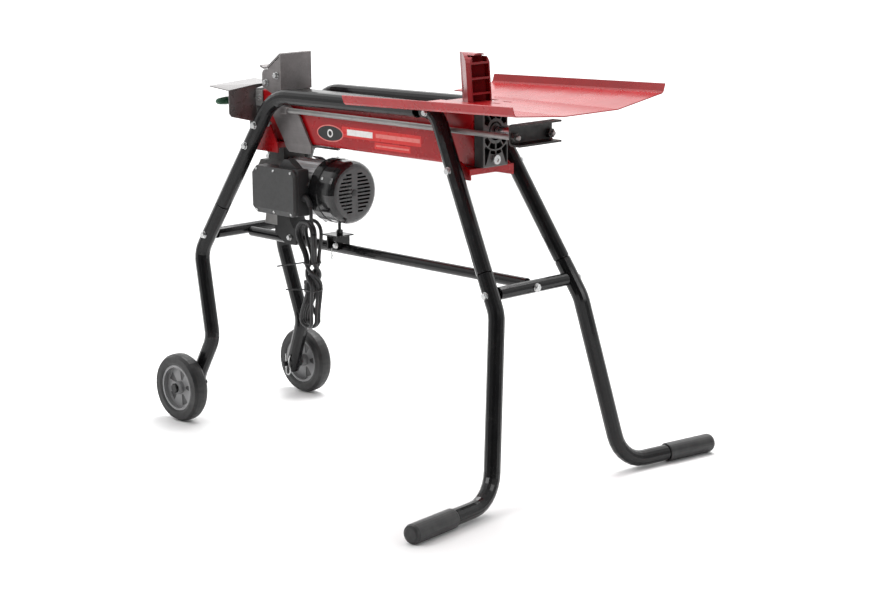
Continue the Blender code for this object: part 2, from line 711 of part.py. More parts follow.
def tie_rod(label, side):
    thread = TIE_R * 0.86
    end = CROSSHEAD_X + 0.020
    shoulder = CROSSHEAD_X - GAP
    profile = [(0.0, end), (thread - 0.001, end), (thread, end - 0.001), (thread, shoulder),
               (TIE_R, shoulder), (TIE_R, TIE_REAR), (0.0, TIE_REAR)]
    turned(f"tie_rod_{label}", profile, (0, side * TIE_Y, ROD_Z), "X", "grey_steel", 16)
    nut_rear = CROSSHEAD_X + CROSSHEAD_PLATE + GAP
    hexagon = arc((side * TIE_Y, ROD_Z), 0.0100, 0, 300, 5)
    hole = arc((side * TIE_Y, ROD_Z), thread + 0.0004, 0, 337.5, 15)
    nut = plate_mesh([hexagon, hole], 0.009, end_plane(nut_rear))
    add(f"tie_rod_nut_{label}", nut, "dark_cast")


def crosshead():
    low, high = CROSSHEAD_Z
    bend = 0.008
    tip = CROSSHEAD_X + CROSSHEAD_DEPTH
    profile = [(tip, low)]
    profile += arc((CROSSHEAD_X + bend, low + bend), bend, 270, 180, 4)
    profile += arc((CROSSHEAD_X + bend, high - bend), bend, 180, 90, 4)
    profile += [(tip, high)]
    obj = folded_sheet("crosshead", profile, CROSSHEAD_HALF, CROSSHEAD_PLATE, "dark_cast")
    for y in (-TIE_Y, TIE_Y):
        start, end = (CROSSHEAD_X - 0.01, y, ROD_Z), (CROSSHEAD_X + 0.01, y, ROD_Z)
        boolean(obj, cutter(cylinder_mesh(start, end, TIE_R, 16)))


def piston_rod():
    end = CROSSHEAD_X - GAP
    piston_rear, piston_front = -0.262, -0.240
    piston = CYLINDER_BORE - 0.0004
    profile = [(0.0, end), (ROD_R, end), (ROD_R, piston_front), (piston, piston_front),
               (piston, piston_rear), (0.0, piston_rear)]
    turned("piston_rod", profile, (0, 0, ROD_Z), "X", "chrome_rod", 24)


# ---- tray and wedge ----------------------------------------------------------------------
def tray_half(edge_z, side):
    """Across one side of the tray, from the lip's top down to the level panel's fold."""
    return [(side * TRAY_LIP, edge_z + TRAY_LIP_RISE), (side * (TRAY_EDGE + 0.001), edge_z + 0.003),
            (side * (TRAY_EDGE - 0.003), edge_z - 0.0004), (side * TRAY_FOLD, TRAY_FLOOR)]


def tray():
    """A sheet folded into a shallow trough with raised lips, notched for the log's path."""
    bm = bmesh.new()
    rows = []
    for i in range(TRAY_ROWS + 1):
        t = i / TRAY_ROWS
        x = TRAY_REAR + (TRAY_FRONT - TRAY_REAR) * t
        near, far = (rear + (front - rear) * t for rear, front in TRAY_EDGE_Z)
        row = tray_half(near, -1) + list(reversed(tray_half(far, 1)))
        rows.append([bm.verts.new((x, y, z)) for y, z in row])
    for rear, front in zip(rows, rows[1:]):
        for i in range(len(rear) - 1):
            bm.faces.new((rear[i], front[i], front[i + 1], rear[i + 1]))
    bmesh.ops.triangulate(bm, faces=bm.faces)
    obj = add("tray", plain_mesh(bm), "red_paint")
    solidify(obj, TRAY_SHEET)
    notch = box_mesh((TRAY_REAR - 0.02, -0.098, 0.74), (0.203, 0.098, 0.80))
    boolean(obj, cutter(notch))
    slot = [(0.190, -0.037), (0.296, -0.037), (0.296, 0.037), (0.190, 0.037)]
    boolean(obj, cutter(plate_mesh([slot], 0.04, level_plane(0.755))))
    for y in (-0.014, 0.020):
        boolean(obj, cutter(box_mesh((0.322, y, 0.76), (0.346, y + 0.006, 0.79))))


def lean(bm):
    for vert in bm.verts:
        vert.co.x -= WEDGE_LEAN * (vert.co.z - WEDGE_BASE)


def leaning(mesh):
    bm = bmesh.new()
    bm.from_mesh(mesh)
    lean(bm)
    return from_bmesh(bm)


def wedge():
    """A hollow splitting wedge: blade towards the log, ribbed pockets open at the back."""
    rear = WEDGE_BLADE_X + WEDGE_LENGTH
    plan = [(WEDGE_BLADE_X, -0.0012), (WEDGE_BLADE_X + 0.012, -0.0075), (rear - 0.012, -WEDGE_HALF),
            (rear, -WEDGE_HALF), (rear, WEDGE_HALF), (rear - 0.012, WEDGE_HALF),
            (WEDGE_BLADE_X + 0.012, 0.0075), (WEDGE_BLADE_X, 0.0012)]
    height = WEDGE_TOP - WEDGE_BASE
    body = add("wedge", leaning(plate_mesh([plan], height, level_plane(WEDGE_BASE))), "red_paint")
    corner = WEDGE_CORNER
    inset = WEDGE_HALF - corner
    crown = [(WEDGE_HALF + 0.001, WEDGE_BASE - 0.02)]
    crown += arc((inset + 0.001, WEDGE_TOP - corner), corner, 0, 90, 5)
    crown += arc((-inset - 0.001, WEDGE_TOP - corner), corner, 90, 180, 5)
    crown += [(-WEDGE_HALF - 0.001, WEDGE_BASE - 0.02)]
    silhouette = plate_mesh([crown], 0.12, end_plane(WEDGE_BLADE_X - 0.03))
    boolean(body, cutter(silhouette), "INTERSECT")
    wall = 0.0035
    rib_heights = (0.7935, 0.8240, 0.8545)
    floors = (WEDGE_BASE + 0.003,) + tuple(z + 0.002 for z in rib_heights)
    ceilings = tuple(z - 0.002 for z in rib_heights) + (WEDGE_TOP - 0.004,)
    for low, high in zip(floors, ceilings):
        side = WEDGE_HALF - wall
        if high > WEDGE_TOP - 0.01:
            side -= 0.004
        pocket = [(WEDGE_BLADE_X + 0.022, -0.006), (rear - 0.012, -side), (rear + 0.01, -side),
                  (rear + 0.01, side), (rear - 0.012, side), (WEDGE_BLADE_X + 0.022, 0.006)]
        boolean(body, cutter(leaning(plate_mesh([pocket], high - low, level_plane(low)))))
    foot = box_mesh((0.204, -BEAM_HALF, BEAM_TOP + GAP), (0.294, BEAM_HALF, WEDGE_BASE + 0.0015), 0.001)
    boolean(body, cutter(foot), "UNION")


# ---- motor and pump ----------------------------------------------------------------------
def motor():
    fins = []
    for i in range(FINS):
        middle = 2 * math.pi * i / FINS
        for turn, radius in ((-0.30, CAN_R - 0.0042), (-0.16, CAN_R), (0.16, CAN_R), (0.30, CAN_R - 0.0042)):
            angle = middle + turn * 2 * math.pi / FINS
            fins.append((radius * math.cos(angle), MOTOR_Z + radius * math.sin(angle)))
    bore = arc((0, MOTOR_Z), 0.0545, 0, 345, 23)
    add("motor_can", plate_mesh([fins, bore], CAN_FRONT - CAN_REAR, end_plane(CAN_REAR)), "aluminium")

    core_rear, core_front = -0.285, -0.205
    stator = [(0.0541, core_front), (0.0541, core_rear), (0.036, core_rear), (0.036, core_front)]
    turned("stator", stator, (0, 0, MOTOR_Z), "X", "copper", 24, ring=True)
    shaft = [(0.0, -0.122), (SHAFT_R, -0.122), (SHAFT_R, core_front), (0.0352, core_front),
             (0.0352, core_rear), (SHAFT_R, core_rear), (SHAFT_R, -0.3735), (0.0, -0.3735)]
    turned("rotor", shaft, (0, 0, MOTOR_Z), "X", "grey_steel", 20)

    rear = CAN_FRONT + GAP
    bell = [(BELL_R - 0.002, BELL_FRONT), (BELL_R, BELL_FRONT - 0.002), (BELL_R, rear + 0.004),
            (BELL_R - 0.004, rear), (0.050, rear), (0.050, rear + 0.006), (0.010, rear + 0.006),
            (0.010, rear + 0.010), (0.060, rear + 0.010), (0.060, BELL_FRONT)]
    turned("end_bell", bell, (0, 0, MOTOR_Z), "X", "black_gloss", 32, ring=True)

    start = BELL_FRONT + GAP
    corner = 0.016
    outer = [(0.0, COVER_FRONT), (COVER_R - corner, COVER_FRONT)]
    outer += [(r, h) for r, h in reversed(arc((COVER_R - corner, COVER_FRONT - corner), corner, 0, 70, 4))]
    inner = [(COVER_R - 0.003, start), (COVER_R - 0.003, COVER_FRONT - corner),
             (COVER_R - corner, COVER_FRONT - 0.003), (0.0, COVER_FRONT - 0.003)]
    cover = turned("fan_cover", outer + [(COVER_R, start)] + inner, (0, 0, MOTOR_Z), "X",
                   "black_plastic", 32)
    for tool in vent_slots():
        boolean(cover, tool)


def vent_slots():
    """Rows of level slots each side of the fan cover's middle, one mesh of them all."""
    bm = bmesh.new()
    rows, pitch, reach = 11, 0.0082, 0.0490
    for i in range(rows):
        z = (i - (rows - 1) / 2) * pitch
        end = math.sqrt(reach ** 2 - z ** 2) - 0.003
        if end < 0.012:
            continue
        for side in (-1, 1):
            low = Vector((COVER_FRONT - 0.006, 0.0085, MOTOR_Z + z - 0.002))
            high = Vector((COVER_FRONT + 0.006, end, MOTOR_Z + z + 0.002))
            made = bmesh.ops.create_cube(bm, size=1.0)["verts"]
            bmesh.ops.scale(bm, vec=high - low, verts=made)
            bmesh.ops.translate(bm, vec=(low + high) / 2, verts=made)
            if side < 0:
                for vert in made:
                    vert.co.y = -vert.co.y
    return [cutter(from_bmesh(bm))]


def cooling_fan():
    blades = 7
    hub, tip = 0.014, 0.050
    outline = []
    for i in range(blades):
        middle = 2 * math.pi * i / blades
        for turn, radius in ((-0.30, hub), (-0.10, tip), (0.22, tip), (0.02, hub)):
            angle = middle + turn * 2 * math.pi / blades
            outline.append((radius * math.cos(angle), MOTOR_Z + radius * math.sin(angle)))
    bore = arc((0, MOTOR_Z), SHAFT_R + GAP, 0, 340, 17)
    add("cooling_fan", plate_mesh([outline, bore], 0.014, end_plane(-0.142)), "black_plastic")


def gear(name, centre_z, first_tooth, bore_r):
    root, tip = GEAR_PITCH_R - 1.15 * GEAR_MODULE, GEAR_PITCH_R + 0.9 * GEAR_MODULE
    outline = []
    for i in range(GEAR_TEETH):
        middle = first_tooth + 2 * math.pi * i / GEAR_TEETH
        for turn, radius in ((-0.27, root), (-0.19, GEAR_PITCH_R), (-0.08, tip), (0.08, tip),
                             (0.19, GEAR_PITCH_R), (0.27, root)):
            angle = middle + turn * 2 * math.pi / GEAR_TEETH
            outline.append((radius * math.cos(angle), centre_z + radius * math.sin(angle)))
    hole = arc((0, centre_z), bore_r, 0, 340, 17)
    return add(name, plate_mesh([outline, hole], 0.016, end_plane(-0.3715)), "grey_steel")


def pump():
    """The gear pump's body below the beam's rear, its gear chamber reached by the shaft's bore."""
    driven_z = MOTOR_Z + 2 * GEAR_PITCH_R
    outline = [(-0.040, 0.506), (0.040, 0.506), (0.048, 0.530), (0.048, 0.575), (0.030, 0.604),
               (0.030, PUMP_TOP), (-0.030, PUMP_TOP), (-0.030, 0.604), (-0.048, 0.575), (-0.048, 0.530)]
    front = CAN_REAR - GAP
    body = add("pump_body", plate_mesh([outline], front - PUMP_REAR, end_plane(PUMP_REAR)), "dark_cast")
    step = box_mesh((PUMP_REAR - 0.01, -0.06, PUMP_NECK_Z), (PUMP_NECK_REAR, 0.06, PUMP_TOP + 0.01))
    boolean(body, cutter(step))
    for z in (MOTOR_Z, driven_z):
        boolean(body, cutter(cylinder_mesh((-0.374, 0, z), (-0.353, 0, z), 0.0158, 24)))
    bore = cylinder_mesh((-0.360, 0, MOTOR_Z), (front + 0.01, 0, MOTOR_Z), SHAFT_R + 0.0005, 20)
    boolean(body, cutter(bore))
    pin = cylinder_mesh((-0.380, 0, driven_z), (-0.3545, 0, driven_z), 0.0045, 16)
    boolean(body, cutter(pin), "UNION")
    gear("pump_drive_gear", MOTOR_Z, math.pi / 2, SHAFT_R + GAP)
    gear("pump_driven_gear", driven_z, -math.pi / 2 + math.pi / GEAR_TEETH, 0.0045 + 0.0004)


def motor_feet():
    """The two feet that carry the motor on the stand's long bar."""
    low, high = REAR_FOOT_Z
    outline = [(-0.3870, low), (-0.2900, low), (-0.3075, 0.4800), (-0.3110, high), (-0.3800, high)]
    rear = add("rear_motor_foot", plate_mesh([outline], 0.044, side_plane(0.022)), "grey_steel")
    clamp = [(-0.3614, low + 0.001), (-0.3593, 0.4319), (-0.3213, 0.4100), (-0.2878, 0.4120),
             (-0.2840, low + 0.001)]
    half = LONG_BAR_R + 0.005
    boolean(rear, cutter(plate_mesh([clamp], 2 * half, side_plane(half))), "UNION")
    boolean(rear, long_bar_channel(-0.37, -0.27))
    slot = LONG_BAR_R + GAP
    boolean(rear, cutter(box_mesh((-0.37, -slot, 0.40), (-0.27, slot, LONG_BAR_Z[1]))))

    head = FRONT_FOOT_Z
    front = add("front_motor_foot",
                box_mesh((-0.190, -0.024, head), (-0.138, 0.024, head + 0.003), 0.0005), "black_gloss")
    for x in (-0.178, -0.1485):
        leg = box_mesh((x - 0.002, -0.019, LONG_BAR_Z[1]), (x + 0.002, 0.019, head + 0.001))
        boolean(front, cutter(leg), "UNION")
    boolean(front, long_bar_channel(-0.20, -0.12))
    nut = cylinder_mesh((STUD_X, 0, head + 0.0005), (STUD_X, 0, head + 0.013), 0.0075, 6)
    boolean(front, cutter(nut), "UNION")
    stud = cylinder_mesh((STUD_X, 0, head + 0.006), (STUD_X, 0, MOTOR_Z - BELL_R - GAP), 0.0035, 12)
    boolean(front, cutter(stud), "UNION")


# ---- switch box --------------------------------------------------------------------------
def switch_box():
    low = (BOX_X[0], BOX_Y[0], BOX_Z[0])
    high = (BOX_X[1], BOX_Y[1], BOX_Z[1])
    box = add("switch_box", box_mesh(low, high, 0.002), "black_plastic")
    ridge = [(-0.262, 0.5975), (-0.240, 0.6180), (-0.226, 0.6180), (-0.197, 0.5975)]
    boolean(box, cutter(plate_mesh([ridge], 0.019, side_plane(-0.0655))), "UNION")
    wall = 0.003
    hollow = box_mesh((low[0] + wall, low[1] - 0.01, low[2] + wall),
                      (high[0] - wall, high[1] - wall, high[2] - wall))
    boolean(box, cutter(hollow))
    hole = cylinder_mesh((BOX_X[0] - 0.01, BUTTON.y, BUTTON.z), (BOX_X[0] + 0.01, BUTTON.y, BUTTON.z),
                         BUTTON_R + 0.0005, 20)
    boolean(box, cutter(hole))

    cut = 0.011
    x0, x1 = BOX_X[0] - 0.001, BOX_X[1] + 0.001
    z0, z1 = BOX_Z[0] - 0.001, BOX_Z[1] + 0.001
    back = chamfered(x0, x1, z0, z1, cut)
    front = chamfered(x0 + 0.002, x1 - 0.002, z0 + 0.012, z1 - 0.013, 0.003)
    rim = COVER_Y + 0.0055
    bm = bmesh.new()
    for y, outline in ((BOX_Y[0] - GAP, back), (rim, back), (COVER_Y, front)):
        for x, z in outline:
            bm.verts.new((x, y, z))
    bmesh.ops.convex_hull(bm, input=bm.verts)
    add("switch_box_cover", from_bmesh(bm), "grey_plastic")

    button = [(0.0, 0.013), (BUTTON_R - 0.001, 0.013), (BUTTON_R, 0.012), (BUTTON_R, 0.0), (0.0, 0.0)]
    obj = turned("start_button", button, (0, 0, 0), "Z", "green_plastic", 16)
    place = Vector((BOX_X[0] + 0.0035, BUTTON.y, BUTTON.z))
    obj.matrix_world = Matrix.Translation(place) @ Matrix.Rotation(-math.pi / 2, 4, "Y")


def chamfered(x0, x1, z0, z1, cut):
    return [(x0 + cut, z0), (x1 - cut, z0), (x1, z0 + cut), (x1, z1 - cut),
            (x1 - cut, z1), (x0 + cut, z1), (x0, z1 - cut), (x0, z0 + cut)]


# ---- controls ----------------------------------------------------------------------------
def valve_block():
    low = (VALVE_REAR, -0.0345, 0.6605)
    high = (BEAM_REAR - GAP, 0.0345, 0.7560)
    block = add("valve_block", box_mesh(low, high, 0.0025), "dark_cast")
    pin = cylinder_mesh((LEVER.x, LEVER.y, LEVER.z), (LEVER.x + 0.028, LEVER.y, LEVER.z), 0.004, 16)
    arm = box_mesh((LEVER.x + 0.015, -0.056, LEVER.z - 0.007),
                   (LEVER.x + 0.028, -0.030, LEVER.z + 0.007), 0.001)
    boolean(block, cutter(arm), "UNION")
    boolean(block, cutter(pin), "UNION")


def control_guard():
    """A bent sheet round the lever: an upright facing the log and a hood above the hand."""
    x, near, far = GUARD_X, -0.115, -0.0375
    top = 0.7600
    bm = bmesh.new()
    ring = [(x, near, top), (x, near, 0.7085), (x, near + 0.006, 0.7010), (x, -0.0700, 0.7010),
            (x, -0.0560, 0.6880), (x, far, 0.6880), (x, far, 0.7300), (x, far, top + 0.004)]
    upright = [bm.verts.new(p) for p in ring]
    bm.faces.new(upright)
    rise, reach = 0.0075, 0.066
    edge = [(x - reach, near - 0.002, top + 0.006), (x - reach, 0.014, top + 0.006 + rise),
            (x - 0.012, 0.026, top + rise), (x, 0.014, top + rise)]
    rear = [bm.verts.new(p) for p in edge]
    bm.faces.new([upright[0], upright[7], rear[3], rear[2], rear[1], rear[0]])
    bmesh.ops.triangulate(bm, faces=bm.faces)
    bmesh.ops.recalc_face_normals(bm, faces=bm.faces)
    obj = add("control_guard", plain_mesh(bm), "grey_steel")
    solidify(obj, 0.0022, 0.0)


def control_lever():
    """The rod that the hand presses down, turning on a pin beside the valve."""
    hub_end = LEVER.x + 0.0145
    ring = [(r, h) for r, h in ((0.009, hub_end), (0.009, LEVER.x - 0.005),
                                (0.0044, LEVER.x - 0.005), (0.0044, hub_end))]
    obj = turned("control_lever", ring, (0, LEVER.y, LEVER.z), "X", "zinc", 20, ring=True)
    rod = cylinder_mesh((LEVER.x, LEVER.y - 0.007, LEVER.z), (LEVER.x, KNOB_TIP_Y + 0.014, LEVER.z),
                        LEVER_R, 12)
    boolean(obj, cutter(rod), "UNION")
    length = KNOB_ROOT_Y - KNOB_TIP_Y
    bore = LEVER_R + GAP
    knob = [(0.0, length), (0.0035, length - 0.0006), (0.0062, length - 0.004), (KNOB_R * 0.82, length - 0.010),
            (KNOB_R, 0.008), (KNOB_R * 0.95, 0.0), (bore, 0.0), (bore, length - 0.012),
            (0.0, length - 0.012)]
    grip = turned("lever_knob", knob, (0, 0, 0), "Z", "green_plastic", 20)
    grip.matrix_world = (Matrix.Translation((LEVER.x, KNOB_ROOT_Y, LEVER.z))
                         @ Matrix.Rotation(math.pi / 2, 4, "X"))


# ---- mains cord --------------------------------------------------------------------------
def smooth_route(points, count):
    """Points read evenly from a Catmull-Rom curve through the route's own points."""
    route = [Vector(p) for p in points]
    ends = [route[0] * 2 - route[1]] + route + [route[-1] * 2 - route[-2]]
    found = []
    for i in range(count):
        t = i / (count - 1) * (len(route) - 1)
        k = min(int(t), len(route) - 2)
        u = t - k
        a, b, c, d = ends[k:k + 4]
        found.append(0.5 * (2 * b + (c - a) * u + (2 * a - 5 * b + 4 * c - d) * u ** 2
                            + (3 * b - a - 3 * c + d) * u ** 3))
    return found


def mains_cord():
    boot = smooth_route(RELIEF_POINTS, 9)
    scales = [1.0 - 0.40 * i / (len(boot) - 1) for i in range(len(boot))]
    add("strain_relief", tube_mesh(boot, 0.0085, 3, scales), "black_plastic")
    add("power_cord", tube_mesh(smooth_route(CORD_POINTS, 7), CORD_R, 2), "rubber")

    outline = arc(HANK_TOP[:2], HANK_TOP[2], -20, 200, 8) + list(HANK_LEFT)
    outline += arc(HANK_BOTTOM[:2], HANK_BOTTOM[2], 170, 370, 8) + list(HANK_RIGHT)
    thickness = HANK_Y[1] - HANK_Y[0]
    add("cord_hank", plate_mesh([outline], thickness, side_plane(HANK_Y[1])), "rubber")
    add("plug", box_mesh(PLUG_LOW, PLUG_HIGH, 0.003), "rubber")


def build():
    for label, side in SIDES:
        legs(label, side)
        wheel(label, side)
        carriage_side(label, side)
        tie_rod(label, side)
    crossbars()
    beam()
    end_casting()
    brackets()
    valve_block()
    control_guard()
    control_lever()
    pusher()
    keeper()
    crosshead()
    piston_rod()
    tray()
    wedge()
    motor()
    cooling_fan()
    pump()
    motor_feet()
    switch_box()
    mains_cord()


build()
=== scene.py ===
"""Looks of the electric log splitter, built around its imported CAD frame. Metres, +Z up."""

import json
import math

import bmesh
import bpy
from mathutils import Matrix, Vector


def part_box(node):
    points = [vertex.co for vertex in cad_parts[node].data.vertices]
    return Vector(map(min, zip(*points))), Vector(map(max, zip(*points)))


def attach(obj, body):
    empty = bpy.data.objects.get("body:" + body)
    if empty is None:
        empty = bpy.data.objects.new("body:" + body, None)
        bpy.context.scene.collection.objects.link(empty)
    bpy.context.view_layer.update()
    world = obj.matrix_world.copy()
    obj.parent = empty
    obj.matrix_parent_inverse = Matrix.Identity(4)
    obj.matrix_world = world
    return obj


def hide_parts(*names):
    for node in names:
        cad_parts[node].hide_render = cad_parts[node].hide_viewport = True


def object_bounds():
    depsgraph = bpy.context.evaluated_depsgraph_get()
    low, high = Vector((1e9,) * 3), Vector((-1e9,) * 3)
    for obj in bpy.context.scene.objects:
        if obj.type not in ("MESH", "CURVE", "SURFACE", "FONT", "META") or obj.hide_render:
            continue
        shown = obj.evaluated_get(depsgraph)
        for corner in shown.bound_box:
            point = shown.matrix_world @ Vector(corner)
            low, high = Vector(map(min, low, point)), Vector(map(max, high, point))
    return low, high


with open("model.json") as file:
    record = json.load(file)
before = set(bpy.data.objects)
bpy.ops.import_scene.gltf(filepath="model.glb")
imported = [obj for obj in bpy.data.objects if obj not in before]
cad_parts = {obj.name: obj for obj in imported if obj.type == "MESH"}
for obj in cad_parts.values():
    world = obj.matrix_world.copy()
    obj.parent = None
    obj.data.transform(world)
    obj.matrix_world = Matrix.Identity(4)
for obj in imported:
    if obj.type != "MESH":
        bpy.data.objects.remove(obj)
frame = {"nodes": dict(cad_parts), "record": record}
CAD_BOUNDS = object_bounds()

# ---- places shared with the CAD ----------------------------------------------------------
LEG_R = 0.017
MOTOR_Z = 0.548
BELL_REAR = -0.1812             # X of the end bell's rim beside the motor's can
COVER_FACE = -0.1066            # X just behind the fan cover's flat front
CASTING_FACE = 0.3222
CLAMP_TOP = 0.4515               # Z where the rear motor foot turns from clamp to plate
FOOT_SHADE_FROM = -0.3450              # X where the rear motor foot's pale face ends; in front of it the plate is painted black as shade
CORD_R = 0.004
CORD_POINTS = (
    (-0.1607, -0.0812, 0.5214), (-0.1592, -0.0815, 0.5160), (-0.1582, -0.0818, 0.5100),
    (-0.1576, -0.0820, 0.5030), (-0.1574, -0.0822, 0.4940),
)
UP = Vector((0, 0, 1))


# ---- camera, floor and light -------------------------------------------------------------
def camera():
    place = Vector((3.2896, -3.0444, 1.2660))
    azimuth = math.radians(45.926)
    pitch = math.radians(11.869)
    roll = math.radians(-0.539)
    ahead = Vector((-math.sin(azimuth) * math.cos(pitch), math.cos(azimuth) * math.cos(pitch),
                    -math.sin(pitch)))
    right = ahead.cross(UP).normalized()
    above = right.cross(ahead)
    across = right * math.cos(roll) + above * math.sin(roll)
    upright = above * math.cos(roll) - right * math.sin(roll)
    data = bpy.data.cameras.new("camera")
    data.sensor_width = 36.0
    data.lens = 87.37
    data.clip_end = 60.0
    obj = bpy.data.objects.new("camera", data)
    axes = Matrix((across, upright, -ahead)).transposed().to_4x4()
    obj.matrix_world = Matrix.Translation(place) @ axes
    bpy.context.scene.collection.objects.link(obj)
    bpy.context.scene.camera = obj


BRIGHT_SIDE = (-0.68, 0.66, 0.32)   # the studio is brightest behind the machine and above it
DARK_STRENGTH = 0.07
BRIGHT_STRENGTH = 1.45


def softbox(name, place, target, width, height, power):
    data = bpy.data.lights.new(name, "AREA")
    data.shape = "RECTANGLE"
    data.size = width
    data.size_y = height
    data.energy = power
    obj = bpy.data.objects.new(name, data)
    aim = (Vector(target) - Vector(place)).to_track_quat("-Z", "Y")
    obj.matrix_world = Matrix.Translation(Vector(place)) @ aim.to_matrix().to_4x4()
    bpy.context.scene.collection.objects.link(obj)


def studio():
    world = bpy.data.worlds.new("studio")
    bpy.context.scene.world = world
    world.use_nodes = True
    tree = world.node_tree
    background = tree.nodes["Background"]
    background.inputs["Color"].default_value = (1.0, 1.0, 1.0, 1.0)
    facing_bright = tree.nodes.new("ShaderNodeVectorMath")
    facing_bright.operation = "DOT_PRODUCT"
    facing_bright.inputs[1].default_value = BRIGHT_SIDE
    strength = tree.nodes.new("ShaderNodeMapRange")
    strength.inputs["From Min"].default_value = -0.7
    strength.inputs["From Max"].default_value = 0.75
    strength.inputs["To Min"].default_value = DARK_STRENGTH
    strength.inputs["To Max"].default_value = BRIGHT_STRENGTH
    tree.links.new(tree.nodes.new("ShaderNodeTexCoord").outputs["Generated"], facing_bright.inputs[0])
    tree.links.new(facing_bright.outputs["Value"], strength.inputs["Value"])
    tree.links.new(strength.outputs["Result"], background.inputs["Strength"])
    softbox("key", (-1.0, -3.4, 3.0), (0.0, 0.0, 0.6), 2.2, 1.4, 60)
    softbox("overhead", (-0.6, 1.4, 3.6), (0.1, 0.0, 0.6), 2.6, 1.8, 125)
    softbox("front", (4.4, 0.4, 1.8), (0.1, 0.0, 0.5), 0.8, 2.4, 26)
    bpy.context.scene.view_settings.view_transform = "Standard"

    bm = bmesh.new()
    bmesh.ops.create_grid(bm, x_segments=1, y_segments=1, size=3.6)
    mesh = bpy.data.meshes.new("floor")
    bm.to_mesh(mesh)
    bm.free()
    floor = bpy.data.objects.new("floor", mesh)
    floor.location.z = CAD_BOUNDS[0][2] - 0.0002
    bpy.context.scene.collection.objects.link(floor)
    mesh.materials.append(pale_floor())


# ---- materials ---------------------------------------------------------------------------
class Surface:
    """A Principled material whose textures read object coordinates, in metres."""

    def __init__(self, name, roughness, metallic=0.0, **sockets):
        self.material = bpy.data.materials.new(name)
        self.material.use_nodes = True
        self.tree = self.material.node_tree
        self.shader = self.tree.nodes["Principled BSDF"]
        self.shader.inputs["Roughness"].default_value = roughness
        self.shader.inputs["Metallic"].default_value = metallic
        for socket, value in sockets.items():
            self.shader.inputs[socket.replace("_", " ")].default_value = value
        self.coordinates = self.tree.nodes.new("ShaderNodeTexCoord").outputs["Object"]

    def link(self, output, socket):
        self.tree.links.new(output, socket)

    def stretched(self, scale):
        mapping = self.tree.nodes.new("ShaderNodeMapping")
        mapping.inputs["Scale"].default_value = scale
        self.link(self.coordinates, mapping.inputs["Vector"])
        return mapping.outputs["Vector"]

    def noise(self, scale, detail=3.0, roughness=0.55, stretch=None):
        node = self.tree.nodes.new("ShaderNodeTexNoise")
        node.inputs["Scale"].default_value = scale
        node.inputs["Detail"].default_value = detail
        node.inputs["Roughness"].default_value = roughness
        source = self.stretched(stretch) if stretch else self.coordinates
        self.link(source, node.inputs["Vector"])
        return node.outputs["Fac"]

    def cells(self, scale, stretch=None):
        node = self.tree.nodes.new("ShaderNodeTexVoronoi")
        node.inputs["Scale"].default_value = scale
        source = self.stretched(stretch) if stretch else self.coordinates
        self.link(source, node.inputs["Vector"])
        return node.outputs["Distance"]

    def ramp(self, factor, low, high, at_low=0.0, at_high=1.0):
        node = self.tree.nodes.new("ShaderNodeMapRange")
        node.clamp = True
        node.inputs["From Min"].default_value = low
        node.inputs["From Max"].default_value = high
        node.inputs["To Min"].default_value = at_low
        node.inputs["To Max"].default_value = at_high
        self.link(factor, node.inputs["Value"])
        return node.outputs["Result"]

    def maths(self, operation, a, b):
        node = self.tree.nodes.new("ShaderNodeMath")
        node.operation = operation
        for socket, value in zip(node.inputs, (a, b)):
            if isinstance(value, (int, float)):
                socket.default_value = value
            else:
                self.link(value, socket)
        return node.outputs["Value"]

    def axis(self, name):
        node = self.tree.nodes.new("ShaderNodeSeparateXYZ")
        self.link(self.coordinates, node.inputs["Vector"])
        return node.outputs[name]

    def mix(self, factor, a, b):
        """Colour a where the factor is 0 and b where it is 1; each a colour or an output."""
        node = self.tree.nodes.new("ShaderNodeMix")
        node.data_type = "RGBA"
        self.link(factor, node.inputs["Factor"])
        for socket, value in ((node.inputs["A"], a), (node.inputs["B"], b)):
            if isinstance(value, tuple):
                socket.default_value = (*value, 1.0)
            else:
                self.link(value, socket)
        return node.outputs["Result"]

    def edges(self, radius, low=0.004, high=0.05):
        """1 on rounded-off edges that stand out, 0 on flat faces."""
        bevel = self.tree.nodes.new("ShaderNodeBevel")
        bevel.samples = 6
        bevel.inputs["Radius"].default_value = radius
        geometry = self.tree.nodes.new("ShaderNodeNewGeometry")
        dot = self.tree.nodes.new("ShaderNodeVectorMath")
        dot.operation = "DOT_PRODUCT"
        self.link(bevel.outputs["Normal"], dot.inputs[0])
        self.link(geometry.outputs["True Normal"], dot.inputs[1])
        away = self.maths("SUBTRACT", 1.0, dot.outputs["Value"])
        return self.ramp(away, low, high)

    def colour(self, output):
        self.link(output, self.shader.inputs["Base Color"])
        return self

    def rough(self, output):
        self.link(output, self.shader.inputs["Roughness"])
        return self

    def bump(self, *layers):
        """Each layer is (height output, depth in metres)."""
        normal = None
        for height, depth in layers:
            node = self.tree.nodes.new("ShaderNodeBump")
            node.inputs["Strength"].default_value = 1.0
            node.inputs["Distance"].default_value = depth
            self.link(height, node.inputs["Height"])
            if normal:
                self.link(normal, node.inputs["Normal"])
            normal = node.outputs["Normal"]
        self.link(normal, self.shader.inputs["Normal"])
        return self


def pale_floor():
    s = Surface("pale_floor", 0.6)
    s.colour(s.mix(s.noise(0.8, 2.0), (0.90, 0.90, 0.90), (0.93, 0.93, 0.93)))
    return s.material


